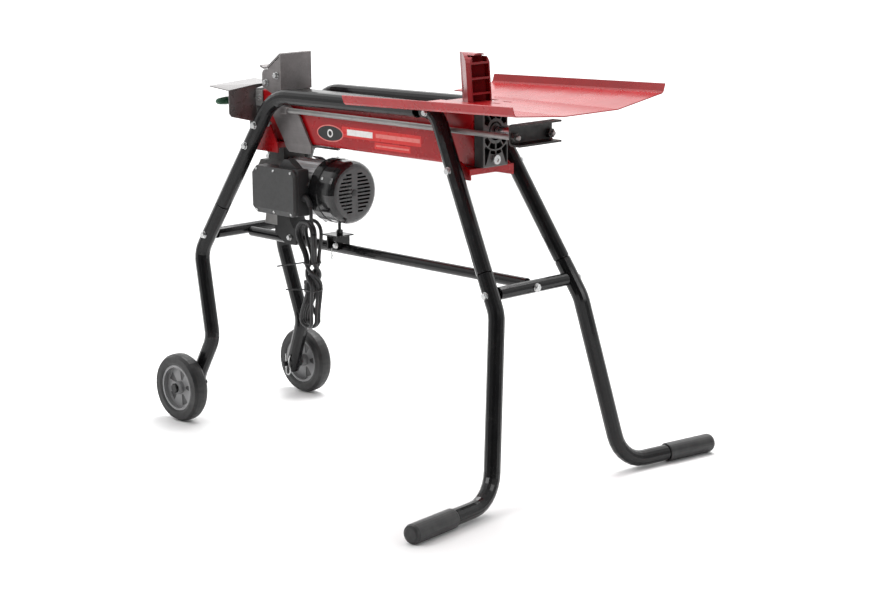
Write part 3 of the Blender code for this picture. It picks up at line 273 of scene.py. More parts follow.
def powder_red(name="powder_red", deep=(0.31, 0.0005, 0.0025), light=(0.37, 0.0009, 0.0045), top=None):
    """Gloss red powder coat: orange peel, lighter edges, and a near-black painted shade above a given
    height.
    """
    s = Surface(name, 0.28, Coat_Weight=0.15, Coat_Roughness=0.1, Specular_IOR_Level=0.4)
    base = s.mix(s.ramp(s.noise(14, 4.0), 0.35, 0.65), deep, light)
    worn = s.maths("MULTIPLY", s.edges(0.0014), s.ramp(s.noise(120, 5.0), 0.54, 0.68, 0.0, 0.30))
    base = s.mix(worn, base, (0.52, 0.10, 0.09))
    if top:
        # Above the given height the colour is near black: painted shade for the beam's top face, drawn as if
        # it lay in shadow.
        base = s.mix(s.ramp(s.axis("Z"), top - 0.0010, top - 0.0006), base, (0.012, 0.0115, 0.011))
    s.colour(base)
    s.rough(s.ramp(s.noise(16, 3.0), 0.3, 0.75, 0.24, 0.32))
    s.bump((s.noise(300, 1.0), 0.000006))
    return s.material


def gloss_black(name="gloss_black"):
    """Black powder coat on tube: gloss with orange peel, hairline scuffs and a little dust."""
    s = Surface(name, 0.2, Coat_Weight=0.22, Coat_Roughness=0.04, Specular_IOR_Level=0.2)
    dust = s.ramp(s.noise(24, 6.0), 0.55, 0.9)
    scuffs = s.ramp(s.noise(60, 8.0, 0.7, (1.0, 1.0, 0.08)), 0.62, 0.74)
    base = s.mix(dust, (0.006, 0.006, 0.0065), (0.016, 0.0155, 0.015))
    worn = s.maths("MULTIPLY", s.edges(0.0012), s.ramp(s.noise(160, 4.0), 0.5, 0.62, 0.0, 0.5))
    base = s.mix(s.maths("MULTIPLY", scuffs, 0.15), base, (0.06, 0.06, 0.06))
    s.colour(s.mix(worn, base, (0.14, 0.14, 0.14)))
    s.rough(s.ramp(s.noise(45, 5.0), 0.3, 0.8, 0.14, 0.30))
    s.bump((s.noise(480, 2.0), 0.00002), (s.noise(2100, 1.0), 0.000005))
    return s.material


def cast_metal(name, dark, light, grain=0.00018, face=None):
    """Sand-cast surface under a thin dark coat, machined bright where edges rub."""
    s = Surface(name, 0.5, 0.35)
    blotch = s.ramp(s.noise(30, 5.0), 0.3, 0.7)
    base = s.mix(blotch, dark, light)
    if face:
        base = s.mix(s.ramp(s.axis("X"), face - 0.0012, face), base, (0.10, 0.098, 0.096))
    worn = s.maths("MULTIPLY", s.edges(0.0014), s.ramp(s.noise(140, 4.0), 0.45, 0.6, 0.0, 0.6))
    s.colour(s.mix(worn, base, (0.22, 0.21, 0.20)))
    s.rough(s.ramp(s.noise(90, 4.0), 0.3, 0.7, 0.38, 0.62))
    s.bump((s.noise(420, 4.0), grain), (s.cells(1300), grain * 0.25))
    return s.material


def mill_steel(name="mill_steel", dark=(0.155, 0.143, 0.143), light=(0.225, 0.208, 0.208), along=(1, 1, 1)):
    """Rolled plate under a thin clear coat: faint mill scale, rolling lines, bright cut edges."""
    s = Surface(name, 0.42, 0.35)
    scale = s.ramp(s.noise(22, 6.0, 0.62), 0.32, 0.68)
    lines = s.noise(260, 3.0, 0.6, along)
    base = s.mix(scale, dark, light)
    base = s.mix(s.ramp(lines, 0.45, 0.8, 0.0, 0.35), base, (0.26, 0.25, 0.245))
    s.colour(s.mix(s.ramp(s.edges(0.0012), 0.0, 1.0, 0.0, 0.55), base, (0.40, 0.385, 0.37)))
    s.rough(s.ramp(s.noise(70, 5.0), 0.3, 0.75, 0.30, 0.52))
    s.bump((lines, 0.00002), (s.noise(640, 3.0), 0.00003))
    return s.material


def clamp_steel():
    """The rear motor foot: pale plate above, its black clamp below, and black painted shade in front."""
    s = Surface("rear_foot", 0.4, 0.3)
    plate = s.mix(s.ramp(s.noise(30, 5.0), 0.3, 0.7), (0.17, 0.165, 0.16), (0.25, 0.245, 0.24))
    black = s.mix(s.noise(26, 4.0), (0.006, 0.006, 0.0065), (0.014, 0.014, 0.014))
    above = s.ramp(s.axis("Z"), CLAMP_TOP, CLAMP_TOP + 0.0006)
    # In front of this X the pale plate is painted black: painted shade, not a black part.
    behind = s.ramp(s.axis("X"), FOOT_SHADE_FROM, FOOT_SHADE_FROM + 0.0006, 1.0, 0.0)
    pale = s.maths("MULTIPLY", above, behind)
    s.colour(s.mix(pale, black, plate))
    s.rough(s.ramp(s.noise(80, 4.0), 0.3, 0.7, 0.26, 0.46))
    s.bump((s.noise(520, 3.0), 0.00004))
    return s.material


def guard_steel():
    """Grey sheet under a hard clear coat that mirrors the light at a grazing view."""
    s = Surface("guard_steel", 0.32, 0.4, Coat_Roughness=0.2)
    s.link(s.ramp(s.axis("Z"), 0.7580, 0.7595, 0.05, 0.7), s.shader.inputs["Coat Weight"])
    base = s.mix(s.ramp(s.noise(22, 5.0), 0.32, 0.68), (0.13, 0.118, 0.118), (0.19, 0.175, 0.175))
    s.colour(s.mix(s.ramp(s.edges(0.0010), 0.0, 1.0, 0.0, 0.5), base, (0.45, 0.43, 0.42)))
    s.rough(s.ramp(s.noise(60, 4.0), 0.3, 0.75, 0.24, 0.36))
    s.bump((s.noise(240, 1.0), 0.000004))
    return s.material


def cover_enamel():
    """The fan cover: gloss black round the side, matt grey on its flat front."""
    s = Surface("fan_cover_enamel", 0.2, Coat_Weight=0.3, Coat_Roughness=0.08)
    front = s.ramp(s.axis("X"), COVER_FACE - 0.0006, COVER_FACE)
    side = s.mix(s.ramp(s.noise(26, 5.0), 0.5, 0.9), (0.007, 0.007, 0.0075), (0.018, 0.0175, 0.017))
    disc = s.mix(s.ramp(s.noise(60, 4.0), 0.3, 0.7), (0.040, 0.040, 0.041), (0.060, 0.060, 0.061))
    s.colour(s.mix(front, side, disc))
    s.rough(s.maths("ADD", s.ramp(s.noise(90, 4.0), 0.3, 0.7, 0.14, 0.26), s.maths("MULTIPLY", front, 0.25)))
    s.bump((s.noise(620, 2.0), 0.00004))
    return s.material


def printed(name, colour, faded):
    """Printed film on the beam, slightly rubbed."""
    s = Surface(name, 0.32)
    s.colour(s.mix(s.ramp(s.noise(160, 5.0), 0.45, 0.8, 0.0, 0.8), colour, faded))
    s.rough(s.ramp(s.noise(90, 4.0), 0.3, 0.7, 0.25, 0.45))
    s.bump((s.noise(900, 2.0), 0.00001))
    return s.material


def zinc_plate(name="zinc_plate"):
    """Bright zinc plating with a faint spangle and handling marks."""
    s = Surface(name, 0.3, 0.95)
    spangle = s.cells(420)
    base = s.mix(s.ramp(spangle, 0.1, 0.7), (0.70, 0.70, 0.68), (0.50, 0.51, 0.52))
    grime = s.ramp(s.noise(170, 5.0), 0.55, 0.8, 0.0, 0.5)
    s.colour(s.mix(grime, base, (0.25, 0.23, 0.21)))
    s.rough(s.ramp(s.noise(300, 3.0), 0.3, 0.7, 0.2, 0.42))
    s.bump((s.noise(900, 2.0), 0.00001))
    return s.material


def chrome_rod():
    s = Surface("chrome_rod", 0.12, 1.0)
    s.colour(s.mix(s.noise(40, 3.0), (0.74, 0.74, 0.75), (0.66, 0.66, 0.68)))
    s.rough(s.ramp(s.noise(400, 3.0, 0.5, (0.05, 1, 1)), 0.3, 0.7, 0.08, 0.2))
    s.bump((s.noise(1500, 1.0, 0.5, (0.1, 1, 1)), 0.000004))
    return s.material


def silver_can():
    """Cast aluminium motor shell under silver lacquer."""
    s = Surface("silver_can", 0.32, 0.45)
    base = s.mix(s.ramp(s.noise(26, 4.0), 0.3, 0.7), (0.60, 0.60, 0.61), (0.72, 0.72, 0.73))
    dirt = s.ramp(s.noise(75, 6.0), 0.58, 0.8, 0.0, 0.4)
    s.colour(s.mix(dirt, base, (0.20, 0.195, 0.19)))
    s.rough(s.ramp(s.noise(120, 4.0), 0.3, 0.7, 0.28, 0.46))
    s.bump((s.noise(560, 3.0), 0.00006), (s.noise(1800, 1.0), 0.00001))
    return s.material


def copper_core():
    s = Surface("copper_core", 0.4, 0.8)
    layers = s.noise(900, 1.0, 0.5, (1.0, 0.02, 0.02))
    s.colour(s.mix(s.ramp(layers, 0.4, 0.6), (0.30, 0.16, 0.08), (0.18, 0.17, 0.165)))
    s.bump((layers, 0.00008))
    return s.material


def moulded(name, dark, light, roughness=(0.36, 0.52), grain=0.00004, **sockets):
    """Injection-moulded plastic: spark-eroded grain, slight flow marks, scuffed edges."""
    s = Surface(name, roughness[0], **sockets)
    flow = s.ramp(s.noise(18, 3.0), 0.3, 0.7)
    base = s.mix(flow, dark, light)
    pale = tuple(min(1.0, c * 2.2 + 0.02) for c in light)
    s.colour(s.mix(s.ramp(s.edges(0.0009), 0.0, 1.0, 0.0, 0.35), base, pale))
    s.rough(s.ramp(s.noise(130, 4.0), 0.3, 0.7, *roughness))
    s.bump((s.cells(2400), grain), (s.noise(700, 2.0), grain * 0.5))
    return s.material


def rubber(name, dark, light, roughness=(0.5, 0.72), fine=0.00005):
    """Moulded rubber: fine skin texture, a bloom of grey where it has been handled."""
    s = Surface(name, roughness[0], Specular_IOR_Level=0.45)
    bloom = s.ramp(s.noise(42, 6.0), 0.42, 0.78)
    s.colour(s.mix(bloom, dark, light))
    s.rough(s.ramp(s.noise(110, 4.0), 0.3, 0.7, *roughness))
    s.bump((s.noise(1500, 3.0), fine), (s.noise(260, 2.0), fine))
    return s.material


MATERIALS = {}


def slot_materials():
    """One finished material for each of the record's slots."""
    black = moulded("black_plastic", (0.018, 0.018, 0.019), (0.028, 0.028, 0.029))
    MATERIALS.update({
        "leg_tube": gloss_black(),
        "black_gloss": gloss_black("motor_enamel"),
        "black_rubber": rubber("sleeve_rubber", (0.016, 0.016, 0.017), (0.032, 0.0315, 0.031),
                               (0.30, 0.46), 0.00002),
        "tyre_rubber": rubber("tyre_rubber", (0.009, 0.009, 0.0095), (0.020, 0.0195, 0.019), (0.38, 0.55)),
        "web_plastic": moulded("web_plastic", (0.045, 0.045, 0.046), (0.065, 0.065, 0.066)),
        "cord_rubber": rubber("cord_jacket", (0.014, 0.014, 0.015), (0.026, 0.026, 0.027),
                              (0.26, 0.42), 0.00002),
        "zinc": zinc_plate(),
        "rim_plastic": moulded("rim_plastic", (0.190, 0.190, 0.193), (0.240, 0.240, 0.244)),
        "red_paint": powder_red(),
        # The beam's top face is painted near black as shade.
        "beam_paint_shaded_top": powder_red("beam_paint_shaded_top", top=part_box("beam")[1][2]),
        "dark_red_paint": powder_red("wedge_red", (0.22, 0.002, 0.005), (0.30, 0.004, 0.009)),
        "end_casting": cast_metal("end_casting_metal", (0.018, 0.0175, 0.017), (0.036, 0.035, 0.034),
                                  face=CASTING_FACE),
        "bright_steel": mill_steel("bright_steel", (0.26, 0.255, 0.25), (0.36, 0.355, 0.35), (0.04, 1, 1)),
        "rear_foot": clamp_steel(),
        "guard_steel": guard_steel(),
        "fan_cover": cover_enamel(),
        "label_white": printed("label_white", (0.80, 0.79, 0.78), (0.66, 0.60, 0.58)),
        "label_pale": printed("label_pale", (0.72, 0.20, 0.18), (0.60, 0.10, 0.09)),
        "label_red": printed("label_red", (0.62, 0.016, 0.014), (0.52, 0.010, 0.010)),
        "label_black": printed("label_black", (0.010, 0.009, 0.009), (0.022, 0.020, 0.020)),
        "dark_cast": cast_metal("dark_cast", (0.026, 0.025, 0.024), (0.050, 0.048, 0.046)),
        "grey_steel": mill_steel(along=(0.04, 1, 1)),
        "dark_steel": cast_metal("dark_steel", (0.020, 0.020, 0.020), (0.040, 0.039, 0.038), 0.00007),
        "chrome_rod": chrome_rod(),
        "green_plastic": moulded("green_plastic", (0.022, 0.075, 0.040), (0.034, 0.100, 0.056), (0.28, 0.4)),
        "bare_aluminium": silver_can(),
        "copper_windings": copper_core(),
        "black_plastic": black,
        "grey_plastic": moulded("cover_plastic", (0.021, 0.021, 0.0215), (0.029, 0.029, 0.0295)),
    })


OWN_LOOK = {
    "end_casting": "end_casting", "tie_rod_near": "bright_steel", "tie_rod_far": "bright_steel",
    "rear_motor_foot": "rear_foot", "fan_cover": "fan_cover", "control_guard": "guard_steel",
    "beam": "beam_paint_shaded_top",
}


def dress_nodes():
    """Gives every CAD node its finished material."""
    slots = {entry["node"]: entry["material_slot"] for entry in frame["record"]["subparts"]}
    for name, obj in frame["nodes"].items():
        made = MATERIALS[OWN_LOOK.get(name, slots[name])]
        if not obj.material_slots:
            obj.data.materials.append(made)
        for entry in obj.material_slots:
            entry.material = made


def rounded(name, width, angle=32.0, segments=2):
    obj = frame["nodes"][name]
    bevel = obj.modifiers.new("rounding", "BEVEL")
    bevel.width = width
    bevel.segments = segments
    bevel.limit_method = "ANGLE"
    bevel.angle_limit = math.radians(angle)
    bevel.harden_normals = True
    bevel.use_clamp_overlap = True


# ---- building small pieces ---------------------------------------------------------------
def facing(place, outward):
    """A frame at place whose +Z looks outward."""
    turn = Vector(outward).to_track_quat("Z", "Y").to_matrix().to_4x4()
    return Matrix.Translation(Vector(place)) @ turn


class Build:
    """Collects simple solids into one mesh."""

    def __init__(self):
        self.bm = bmesh.new()

    def lathe(self, at, profile, sides=32):
        """Profile of (radius, height) turned about the +Z of at."""
        rings = []
        for radius, height in profile:
            if radius < 1e-6:
                rings.append([self.bm.verts.new(at @ Vector((0, 0, height)))])
                continue
            ring = []
            for i in range(sides):
                angle = 2 * math.pi * i / sides
                ring.append(self.bm.verts.new(
                    at @ Vector((radius * math.cos(angle), radius * math.sin(angle), height))))
            rings.append(ring)
        for low, high in zip(rings, rings[1:]):
            for i in range(sides):
                j = (i + 1) % sides
                corners = [low[i % len(low)], low[j % len(low)], high[j % len(high)], high[i % len(high)]]
                corners = [c for k, c in enumerate(corners) if c not in corners[:k]]
                if len(corners) > 2:
                    self.bm.faces.new(corners)
        return self

    def box(self, at, low, high, bevel=0.0):
        low, high = Vector(low), Vector(high)
        made = bmesh.ops.create_cube(self.bm, size=1.0)["verts"]
        bmesh.ops.scale(self.bm, vec=high - low, verts=made)
        bmesh.ops.translate(self.bm, vec=(low + high) / 2, verts=made)
        if bevel:
            edges = list({e for v in made for e in v.link_edges})
            made = bmesh.ops.bevel(self.bm, geom=edges, offset=bevel, segments=2, affect="EDGES")["verts"]
        bmesh.ops.transform(self.bm, matrix=at, verts=made)
        return self

    def prism(self, at, outline, low, high, bevel=0.0):
        """An outline of (x, y) raised from low to high along the +Z of at."""
        bottom = [self.bm.verts.new((u, v, low)) for u, v in outline]
        top = [self.bm.verts.new((u, v, high)) for u, v in outline]
        faces = [self.bm.faces.new(list(reversed(bottom))), self.bm.faces.new(top)]
        count = len(outline)
        for i in range(count):
            j = (i + 1) % count
            faces.append(self.bm.faces.new((bottom[i], bottom[j], top[j], top[i])))
        made = bottom + top
        if bevel:
            edges = list({e for v in made for e in v.link_edges})
            made = bmesh.ops.bevel(self.bm, geom=edges, offset=bevel, segments=2, affect="EDGES")["verts"]
        bmesh.ops.transform(self.bm, matrix=at, verts=made)
        return self

    def hexagon(self, at, flats, height, base=0.0):
        """A hexagon head with the turned chamfer of a real one."""
        corner = flats / math.sqrt(3)
        turned = flats / 2
        rings = []
        for radius, z in ((corner, base), (corner, base + height * 0.80), (turned * 0.97, base + height)):
            rings.append([self.bm.verts.new(at @ Vector((radius * math.cos(math.pi * i / 3),
                                                         radius * math.sin(math.pi * i / 3), z)))
                          for i in range(6)])
        for low, high in zip(rings, rings[1:]):
            for i in range(6):
                j = (i + 1) % 6
                self.bm.faces.new((low[i], low[j], high[j], high[i]))
        self.bm.faces.new(rings[-1])
        self.bm.faces.new(list(reversed(rings[0])))
        return self

    def washer(self, at, radius, thickness, base=0.0):
        edge = thickness * 0.3
        return self.lathe(at, [(0, base), (radius - edge, base), (radius, base + edge),
                               (radius, base + thickness - edge), (radius - edge, base + thickness),
                               (0, base + thickness)])

    def bolt(self, at, flats=0.013, height=0.0055, washer=0.0085):
        self.washer(at, washer, 0.0015)
        return self.hexagon(at, flats, height, 0.0014)

    def screw(self, at, radius=0.0036, height=0.0018):
        """A pan-head screw with a cross recess."""
        self.lathe(at, [(radius, 0.0), (radius, height * 0.35), (radius * 0.8, height * 0.85),
                        (radius * 0.45, height), (radius * 0.40, height * 0.35), (0.0, height * 0.3)], 20)
        for turn in (0, 1):
            spin = at @ Matrix.Rotation(math.pi / 2 * turn, 4, "Z")
            arm = radius * 0.62
            self.box(spin, (-arm, -radius * 0.12, height * 0.5),
                     (-radius * 0.36, radius * 0.12, height * 0.97))
        return self

    def finish(self, name, slot, body="stand", angle=35.0, look=None):
        bmesh.ops.recalc_face_normals(self.bm, faces=self.bm.faces)
        mesh = bpy.data.meshes.new(name)
        self.bm.to_mesh(mesh)
        self.bm.free()
        mesh.shade_smooth()
        mesh.set_sharp_from_angle(angle=math.radians(angle))
        return settle(name, mesh, slot, body, look)


def settle(name, data, slot, body, look=None):
    """Links a piece, gives it the slot's material or its own look, and has it ride on its body."""
    obj = bpy.data.objects.new(name, data)
    bpy.context.scene.collection.objects.link(obj)
    data.materials.append(MATERIALS[look or slot])
    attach(obj, body)
    return obj


def wire(name, points, radius, slot, body="stand", resolution=4, smooth=True):
    """A bent wire or rod along the points."""
    curve = bpy.data.curves.new(name, "CURVE")
    curve.dimensions = "3D"
    curve.bevel_depth = radius
    curve.bevel_resolution = resolution
    curve.use_fill_caps = True
    spline = curve.splines.new("POLY")
    line = smooth_route(points, 6) if smooth else [Vector(p) for p in points]
    spline.points.add(len(line) - 1)
    for point, place in zip(spline.points, line):
        point.co = (*place, 1.0)
    return settle(name, curve, slot, body)


def smooth_route(points, steps):
    """Catmull-Rom curve through the points, this many steps between each two."""
    route = [Vector(p) for p in points]
    ends = [route[0] * 2 - route[1]] + route + [route[-1] * 2 - route[-2]]
    found = []
    for k in range(len(route) - 1):
        a, b, c, d = ends[k:k + 4]
        for i in range(steps):
            u = i / steps
            found.append(0.5 * (2 * b + (c - a) * u + (2 * a - 5 * b + 4 * c - d) * u ** 2
                                + (3 * b - a - 3 * c + d) * u ** 3))
    found.append(route[-1])
    return found


# ---- mains cord --------------------------------------------------------------------------
HANK_TURNS = 4
HANK_LAYER = 0.0087              # from the middle of one layer of cord to the next
HANK_LEVELS = (0.4636, 0.405, 0.345, 0.2695)      # top loops, upper tie, lower tie, bottom loops
HANK_MIDDLE = (-0.168, -0.1592, -0.1545, -0.1712)  # X of the bundle's middle at those levels
HANK_REACH = (0.0248, 0.0098, 0.0098, 0.0172)     # half width of the bundle's runs there
HANK_Y = -0.080
PLUG_FOOT = Vector((-0.1755, -0.0800, 0.318))


def eased(values, z):
    """Reads a bundle's value at a height, easing from one level to the next."""
    for (high, low), (a, b) in zip(zip(HANK_LEVELS, HANK_LEVELS[1:]), zip(values, values[1:])):
        if z >= low:
            t = min(1.0, max(0.0, (high - z) / (high - low)))
            t = t * t * (3 - 2 * t)
            return a + (b - a) * t
    return values[-1]


def in_bundle(side, layer, z, reach_share=1.0):
    """A run's place at a height; below the upper tie the bundle is twisted by half a turn."""
    reach = eased(HANK_REACH, z) * reach_share
    squeeze = eased((1.0, 0.86, 0.86, 0.8), z)
    turn = math.radians(eased((0, 12, 168, 180), z))
    u = side * reach
    v = layer * HANK_LAYER * squeeze
    return Vector((eased(HANK_MIDDLE, z) + u * math.cos(turn) - v * math.sin(turn),
                   HANK_Y + u * math.sin(turn) + v * math.cos(turn), z))


def hank_route():
    """The whole cord: gland, down into the hank, its turns, and up to the plug."""
    layers = (-1.5, -0.5, 0.5, 1.5)
    top, _, _, bottom = HANK_LEVELS
    runs = 14
    points = [Vector(p) for p in CORD_POINTS]
    for k in range(HANK_TURNS):
        down = 0.5 if k == 0 else layers[k - 1] if k < 3 else 1.5
        up = layers[k] if k < 2 else 1.5 if k == 2 else -1.5
        start = top + (0.006 if k == 0 else 0.0)
        for i in range(runs):
            z = start + (bottom - start) * (i + (1 if k == 0 else 0)) / runs
            share = 0.42 + 0.58 * min(1.0, i / (runs - 3)) if k == 0 else 1.0
            points.append(in_bundle(1, down, z, share))
        right, left = in_bundle(1, down, bottom), in_bundle(-1, up, bottom)
        points += half_loop(right, left, -1)
        if k == HANK_TURNS - 1:
            break
        for i in range(1, runs):
            points.append(in_bundle(-1, up, bottom + (top - bottom) * i / runs))
        following = layers[k] if k < 2 else 1.5
        left, right = in_bundle(-1, up, top), in_bundle(1, following, top)
        points += half_loop(left, right, 1)
    last = points[-1]
    points += [last.lerp(PLUG_FOOT, 0.35) + Vector((-0.0015, 0, 0)), last.lerp(PLUG_FOOT, 0.7), PLUG_FOOT]
    return points


def half_loop(start, end, way):
    """The turn between two runs, upwards where way is 1."""
    middle = (start + end) / 2
    arm = start - middle
    rise = Vector((arm.x, 0, 0)).length
    found = []
    for i in range(9):
        angle = math.pi * i / 8
        lift = way * rise * math.sin(angle)
        found.append(middle + arm * math.cos(angle) + UP * lift)
    return found


def mains_cord():
    curve = bpy.data.curves.new("mains_cord", "CURVE")
    curve.dimensions = "3D"
    curve.bevel_depth = CORD_R
    curve.bevel_resolution = 6
    curve.use_fill_caps = True
    route = smooth_route(hank_route(), 3)
    spline = curve.splines.new("POLY")
    spline.points.add(len(route) - 1)
    for point, place in zip(spline.points, route):
        point.co = (*place, 1.0)
    cord = settle("mains_cord", curve, "cord_rubber", "stand")
    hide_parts("power_cord", "cord_hank")
    plug = mains_plug()
    ties = [hank_tie("upper_tie", 0.398, 0.050, 1.6), hank_tie("lower_tie", 0.3385, 0.034, 0.3)]


def mains_plug():
    """A moulded two-pin plug, its face upwards, with a ribbed sleeve where the cord enters."""
    foot = facing(PLUG_FOOT - UP * 0.004, (0.02, 0.0, 1.0))
    build = Build()
    sleeve = [(0.0, -0.004), (0.0048, -0.004)]
    for i in range(5):
        z = i * 0.0036
        sleeve += [(0.0052 + 0.0004 * i, z), (0.0052 + 0.0004 * i, z + 0.0020),
                   (0.0046 + 0.0004 * i, z + 0.0024)]
    build.lathe(foot, sleeve + [(0.0, 0.019)], 20)
    oval = [(0.0098 * math.cos(math.pi * i / 12), 0.0085 * math.sin(math.pi * i / 12)) for i in range(24)]
    build.prism(foot, oval, 0.0165, 0.0340, 0.0012)
    collar = [(u * 1.05, v * 1.08) for u, v in oval]
    build.prism(foot, collar, 0.0345, 0.0425, 0.0010)
    plug = build.finish("mains_plug", "black_plastic")
    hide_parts("plug")
    return plug


def hank_tie(name, z, tail, lean):
    """A plastic-covered wire tie round the bundle, its tail left sticking out."""
    middle = Vector((eased(HANK_MIDDLE, z), HANK_Y, z))
    half_x, half_y = 0.0185, 0.0185
    points = []
    for i in range(13):
        angle = math.radians(-150 + 330 * i / 12)
        points.append(middle + Vector((half_x * math.cos(angle), half_y * math.sin(angle),
                                       0.001 * math.sin(angle))))
    away = Vector((-0.80, -0.60, -0.10 * lean)).normalized()
    start = points[0]
    points = [start + away * (0.012 + tail), start + away * 0.012] + points
    return wire(name, points, 0.0016, "cord_rubber", resolution=2)


# ---- fasteners ---------------------------------------------------------------------------
def leg_centre(node_low, node_high, z):
    return node_low + (node_high - node_low) * ((z - node_low.z) / (node_high.z - node_low.z))


REAR_LEG = (Vector((-0.500, 0.120, 0.3845)), Vector((-0.286, 0.074, 0.7530)))
FRONT_LEG = (Vector((0.4443, 0.1233, 0.3781)), Vector((0.225, 0.0715, 0.7587)))
FRONT_TOP_BOLT = (0.2089, 0.0715, 0.7560)


def leg_bolts():
    """Bolts through the legs into the saddles and crossbars, with their nuts inside."""
    for label, side in (("near", -1), ("far", 1)):
        build = Build()
        outward = Vector((0, side, 0))
        for leg, heights in ((REAR_LEG, (0.687, 0.640, 0.428)), (FRONT_LEG, (0.6464, 0.4140))):
            for z in heights:
                centre = leg_centre(*leg, z)
                seat = Vector((centre.x, side * (centre.y + LEG_R * 0.94), z))
                build.bolt(facing(seat, outward))
        x, y, z = FRONT_TOP_BOLT
        build.bolt(facing((x, side * (y + LEG_R * 0.96), z), outward), 0.011, 0.0048, 0.0072)
        inner = leg_centre(*REAR_LEG, 0.687)
        build.hexagon(facing((inner.x, side * 0.0594, 0.687), -outward), 0.013, 0.0065)
        build.finish(f"leg_bolts_{label}", "zinc")


def crossbar_bolt():
    low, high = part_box("front_crossbar")
    place = (high[0] - 0.0006, 0.0, (low[2] + high[2]) / 2)
    build = Build().bolt(facing(place, (1, 0, 0)), 0.013, 0.0055, 0.0085)
    low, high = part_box("rear_crossbar")
    build.bolt(facing((low[0] + 0.0006, 0.0, (low[2] + high[2]) / 2), (-1, 0, 0)))
    build.finish("crossbar_bolts", "zinc")


def axle_fittings():
    for label, side in (("near", -1), ("far", 1)):
        low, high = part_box(f"axle_{label}")
        x, z = (low[0] + high[0]) / 2, (low[2] + high[2]) / 2
        inner = high[1] if side < 0 else low[1]
        clip_y = inner + side * 0.010
        loop = [(0.0, 0.024), (0.0, -0.019), (0.0026, -0.024), (0.0085, -0.0255), (0.0140, -0.0205),
                (0.0143, -0.0085), (0.0100, 0.0015), (0.0112, 0.0130), (0.0155, 0.0215)]
        wire(f"axle_clip_{label}", [(x + u, clip_y, z + v) for u, v in loop], 0.0014, "zinc")
        washer = Build()
        seat = facing((x, side * 0.1675, z), (0, side, 0))
        washer.lathe(seat, [(0.0066, -0.0012), (0.0120, -0.0012), (0.0120, 0.0), (0.0066, 0.0),
                            (0.0066, -0.0012)])
        washer.finish(f"axle_washer_{label}", "zinc")


def carriage_bolts():
    for label, side in (("near", -1), ("far", 1)):
        build = Build()
        for x, z in ((-0.3094, 0.7934), (-0.3452, 0.7754)):
            build.bolt(facing((x, side * 0.0435, z), (0, side, 0)), 0.012, 0.0060, 0.0080)
        build.finish(f"carriage_bolts_{label}", "zinc", "ram")


def keeper_bolts():
    low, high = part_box("keeper_plate")
    build = Build()
    for x in (low[0] + 0.012, high[0] - 0.012):
        for side in (-1, 1):
            build.hexagon(facing((x, side * 0.024, low[2]), (0, 0, -1)), 0.010, 0.0045)
    build.finish("keeper_bolts", "zinc", "ram")


def box_screws():
    """Six screws on the sloping borders of the switch box's cover."""
    low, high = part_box("switch_box_cover")
    build = Build()
    middle = (low[0] + high[0]) / 2
    for z, slope in ((low[2] + 0.0062, -1), (high[2] - 0.0066, 1)):
        for x in (low[0] + 0.0135, middle, high[0] - 0.0135):
            build.screw(facing((x, low[1] + 0.0022, z), (0, -1, 0.42 * slope)), 0.0030, 0.0016)
    build.finish("switch_box_screws", "zinc")


def guard_bracket():
    """The strap that ties the lever's guard to the valve, with its bolt."""
    build = Build()
    still = Matrix.Identity(4)
    build.box(still, (-0.3886, -0.0400, 0.7215), (-0.3640, -0.0372, 0.7560), 0.0006)
    build.finish("guard_bracket", "grey_steel", look="bright_steel")
    Build().bolt(facing((-0.3755, -0.0400, 0.7400), (0, -1, 0)), 0.012, 0.0055, 0.0080).finish(
        "guard_bracket_bolt", "zinc")


def oil_lines():
    """Two steel unions on the pump's shoulder and the short hoses from them to the valve."""
    for label, side in (("near", -1), ("far", 1)):
        foot = facing((-0.3700, side * 0.0170, 0.6000), (0, 0, 1))
        union = Build().lathe(foot, [(0.0, 0.0), (0.0072, 0.0), (0.0072, 0.003), (0.0062, 0.003),
                                     (0.0062, 0.016), (0.0, 0.016)], 24)
        union.hexagon(foot, 0.0165, 0.0085, 0.0030)
        union.finish(f"oil_union_{label}", "zinc")
        hose = [(-0.3700, side * 0.0170, 0.6130), (-0.3706, side * 0.0172, 0.6250),
                (-0.3745, side * 0.0182, 0.6400), (-0.3820, side * 0.0190, 0.6520),
                (-0.3855, side * 0.0190, 0.6610)]
        wire(f"oil_hose_{label}", hose, 0.0058, "cord_rubber", resolution=5)


def bell_bolts():
    """The through bolts that hold the end bell on the motor's can."""
    build = Build()
    for degrees in (164, 74, -16, -106):
        angle = math.radians(degrees)
        y, z = 0.0665 * math.cos(angle), MOTOR_Z + 0.0665 * math.sin(angle)
        seat = facing((BELL_REAR, y, z), (-1, 0, 0))
        build.lathe(seat, [(0.0, 0.0), (0.0068, 0.0), (0.0060, 0.0018), (0.0, 0.0018)], 20)
        build.hexagon(seat, 0.0085, 0.0060, 0.0016)
        build.lathe(seat, [(0.0, 0.0), (0.0022, 0.0), (0.0022, 0.0115), (0.0, 0.0120)], 12)
    build.finish("bell_bolts", "zinc")


def cover_screws():
    """Three screws round the fan cover's side and the boss in the middle of its front."""
    build = Build()
    for degrees in (150, 30, 270):
        angle = math.radians(degrees)
        out = Vector((0, math.cos(angle), math.sin(angle)))
        build.screw(facing(Vector((-0.1440, 0, MOTOR_Z)) + out * 0.0693, out), 0.0034, 0.0018)
    build.finish("fan_cover_screws", "zinc")
    boss = Build().lathe(facing((-0.1062, 0, MOTOR_Z), (1, 0, 0)),
                         [(0.0085, 0.0), (0.0080, 0.0014), (0.0050, 0.0020), (0.0, 0.0020)], 28)
    boss.finish("fan_cover_boss", "black_plastic")


def rating_plate():
    """A blank rating plate on the motor's far side."""
    angle = math.radians(58)
    out = Vector((0, math.cos(angle), math.sin(angle)))
    seat = facing(Vector((-0.240, 0, MOTOR_Z)) + out * 0.0612, out)
    Build().box(seat, (-0.018, -0.027, 0.0), (0.018, 0.027, 0.0009), 0.0003).finish("rating_plate", "zinc")


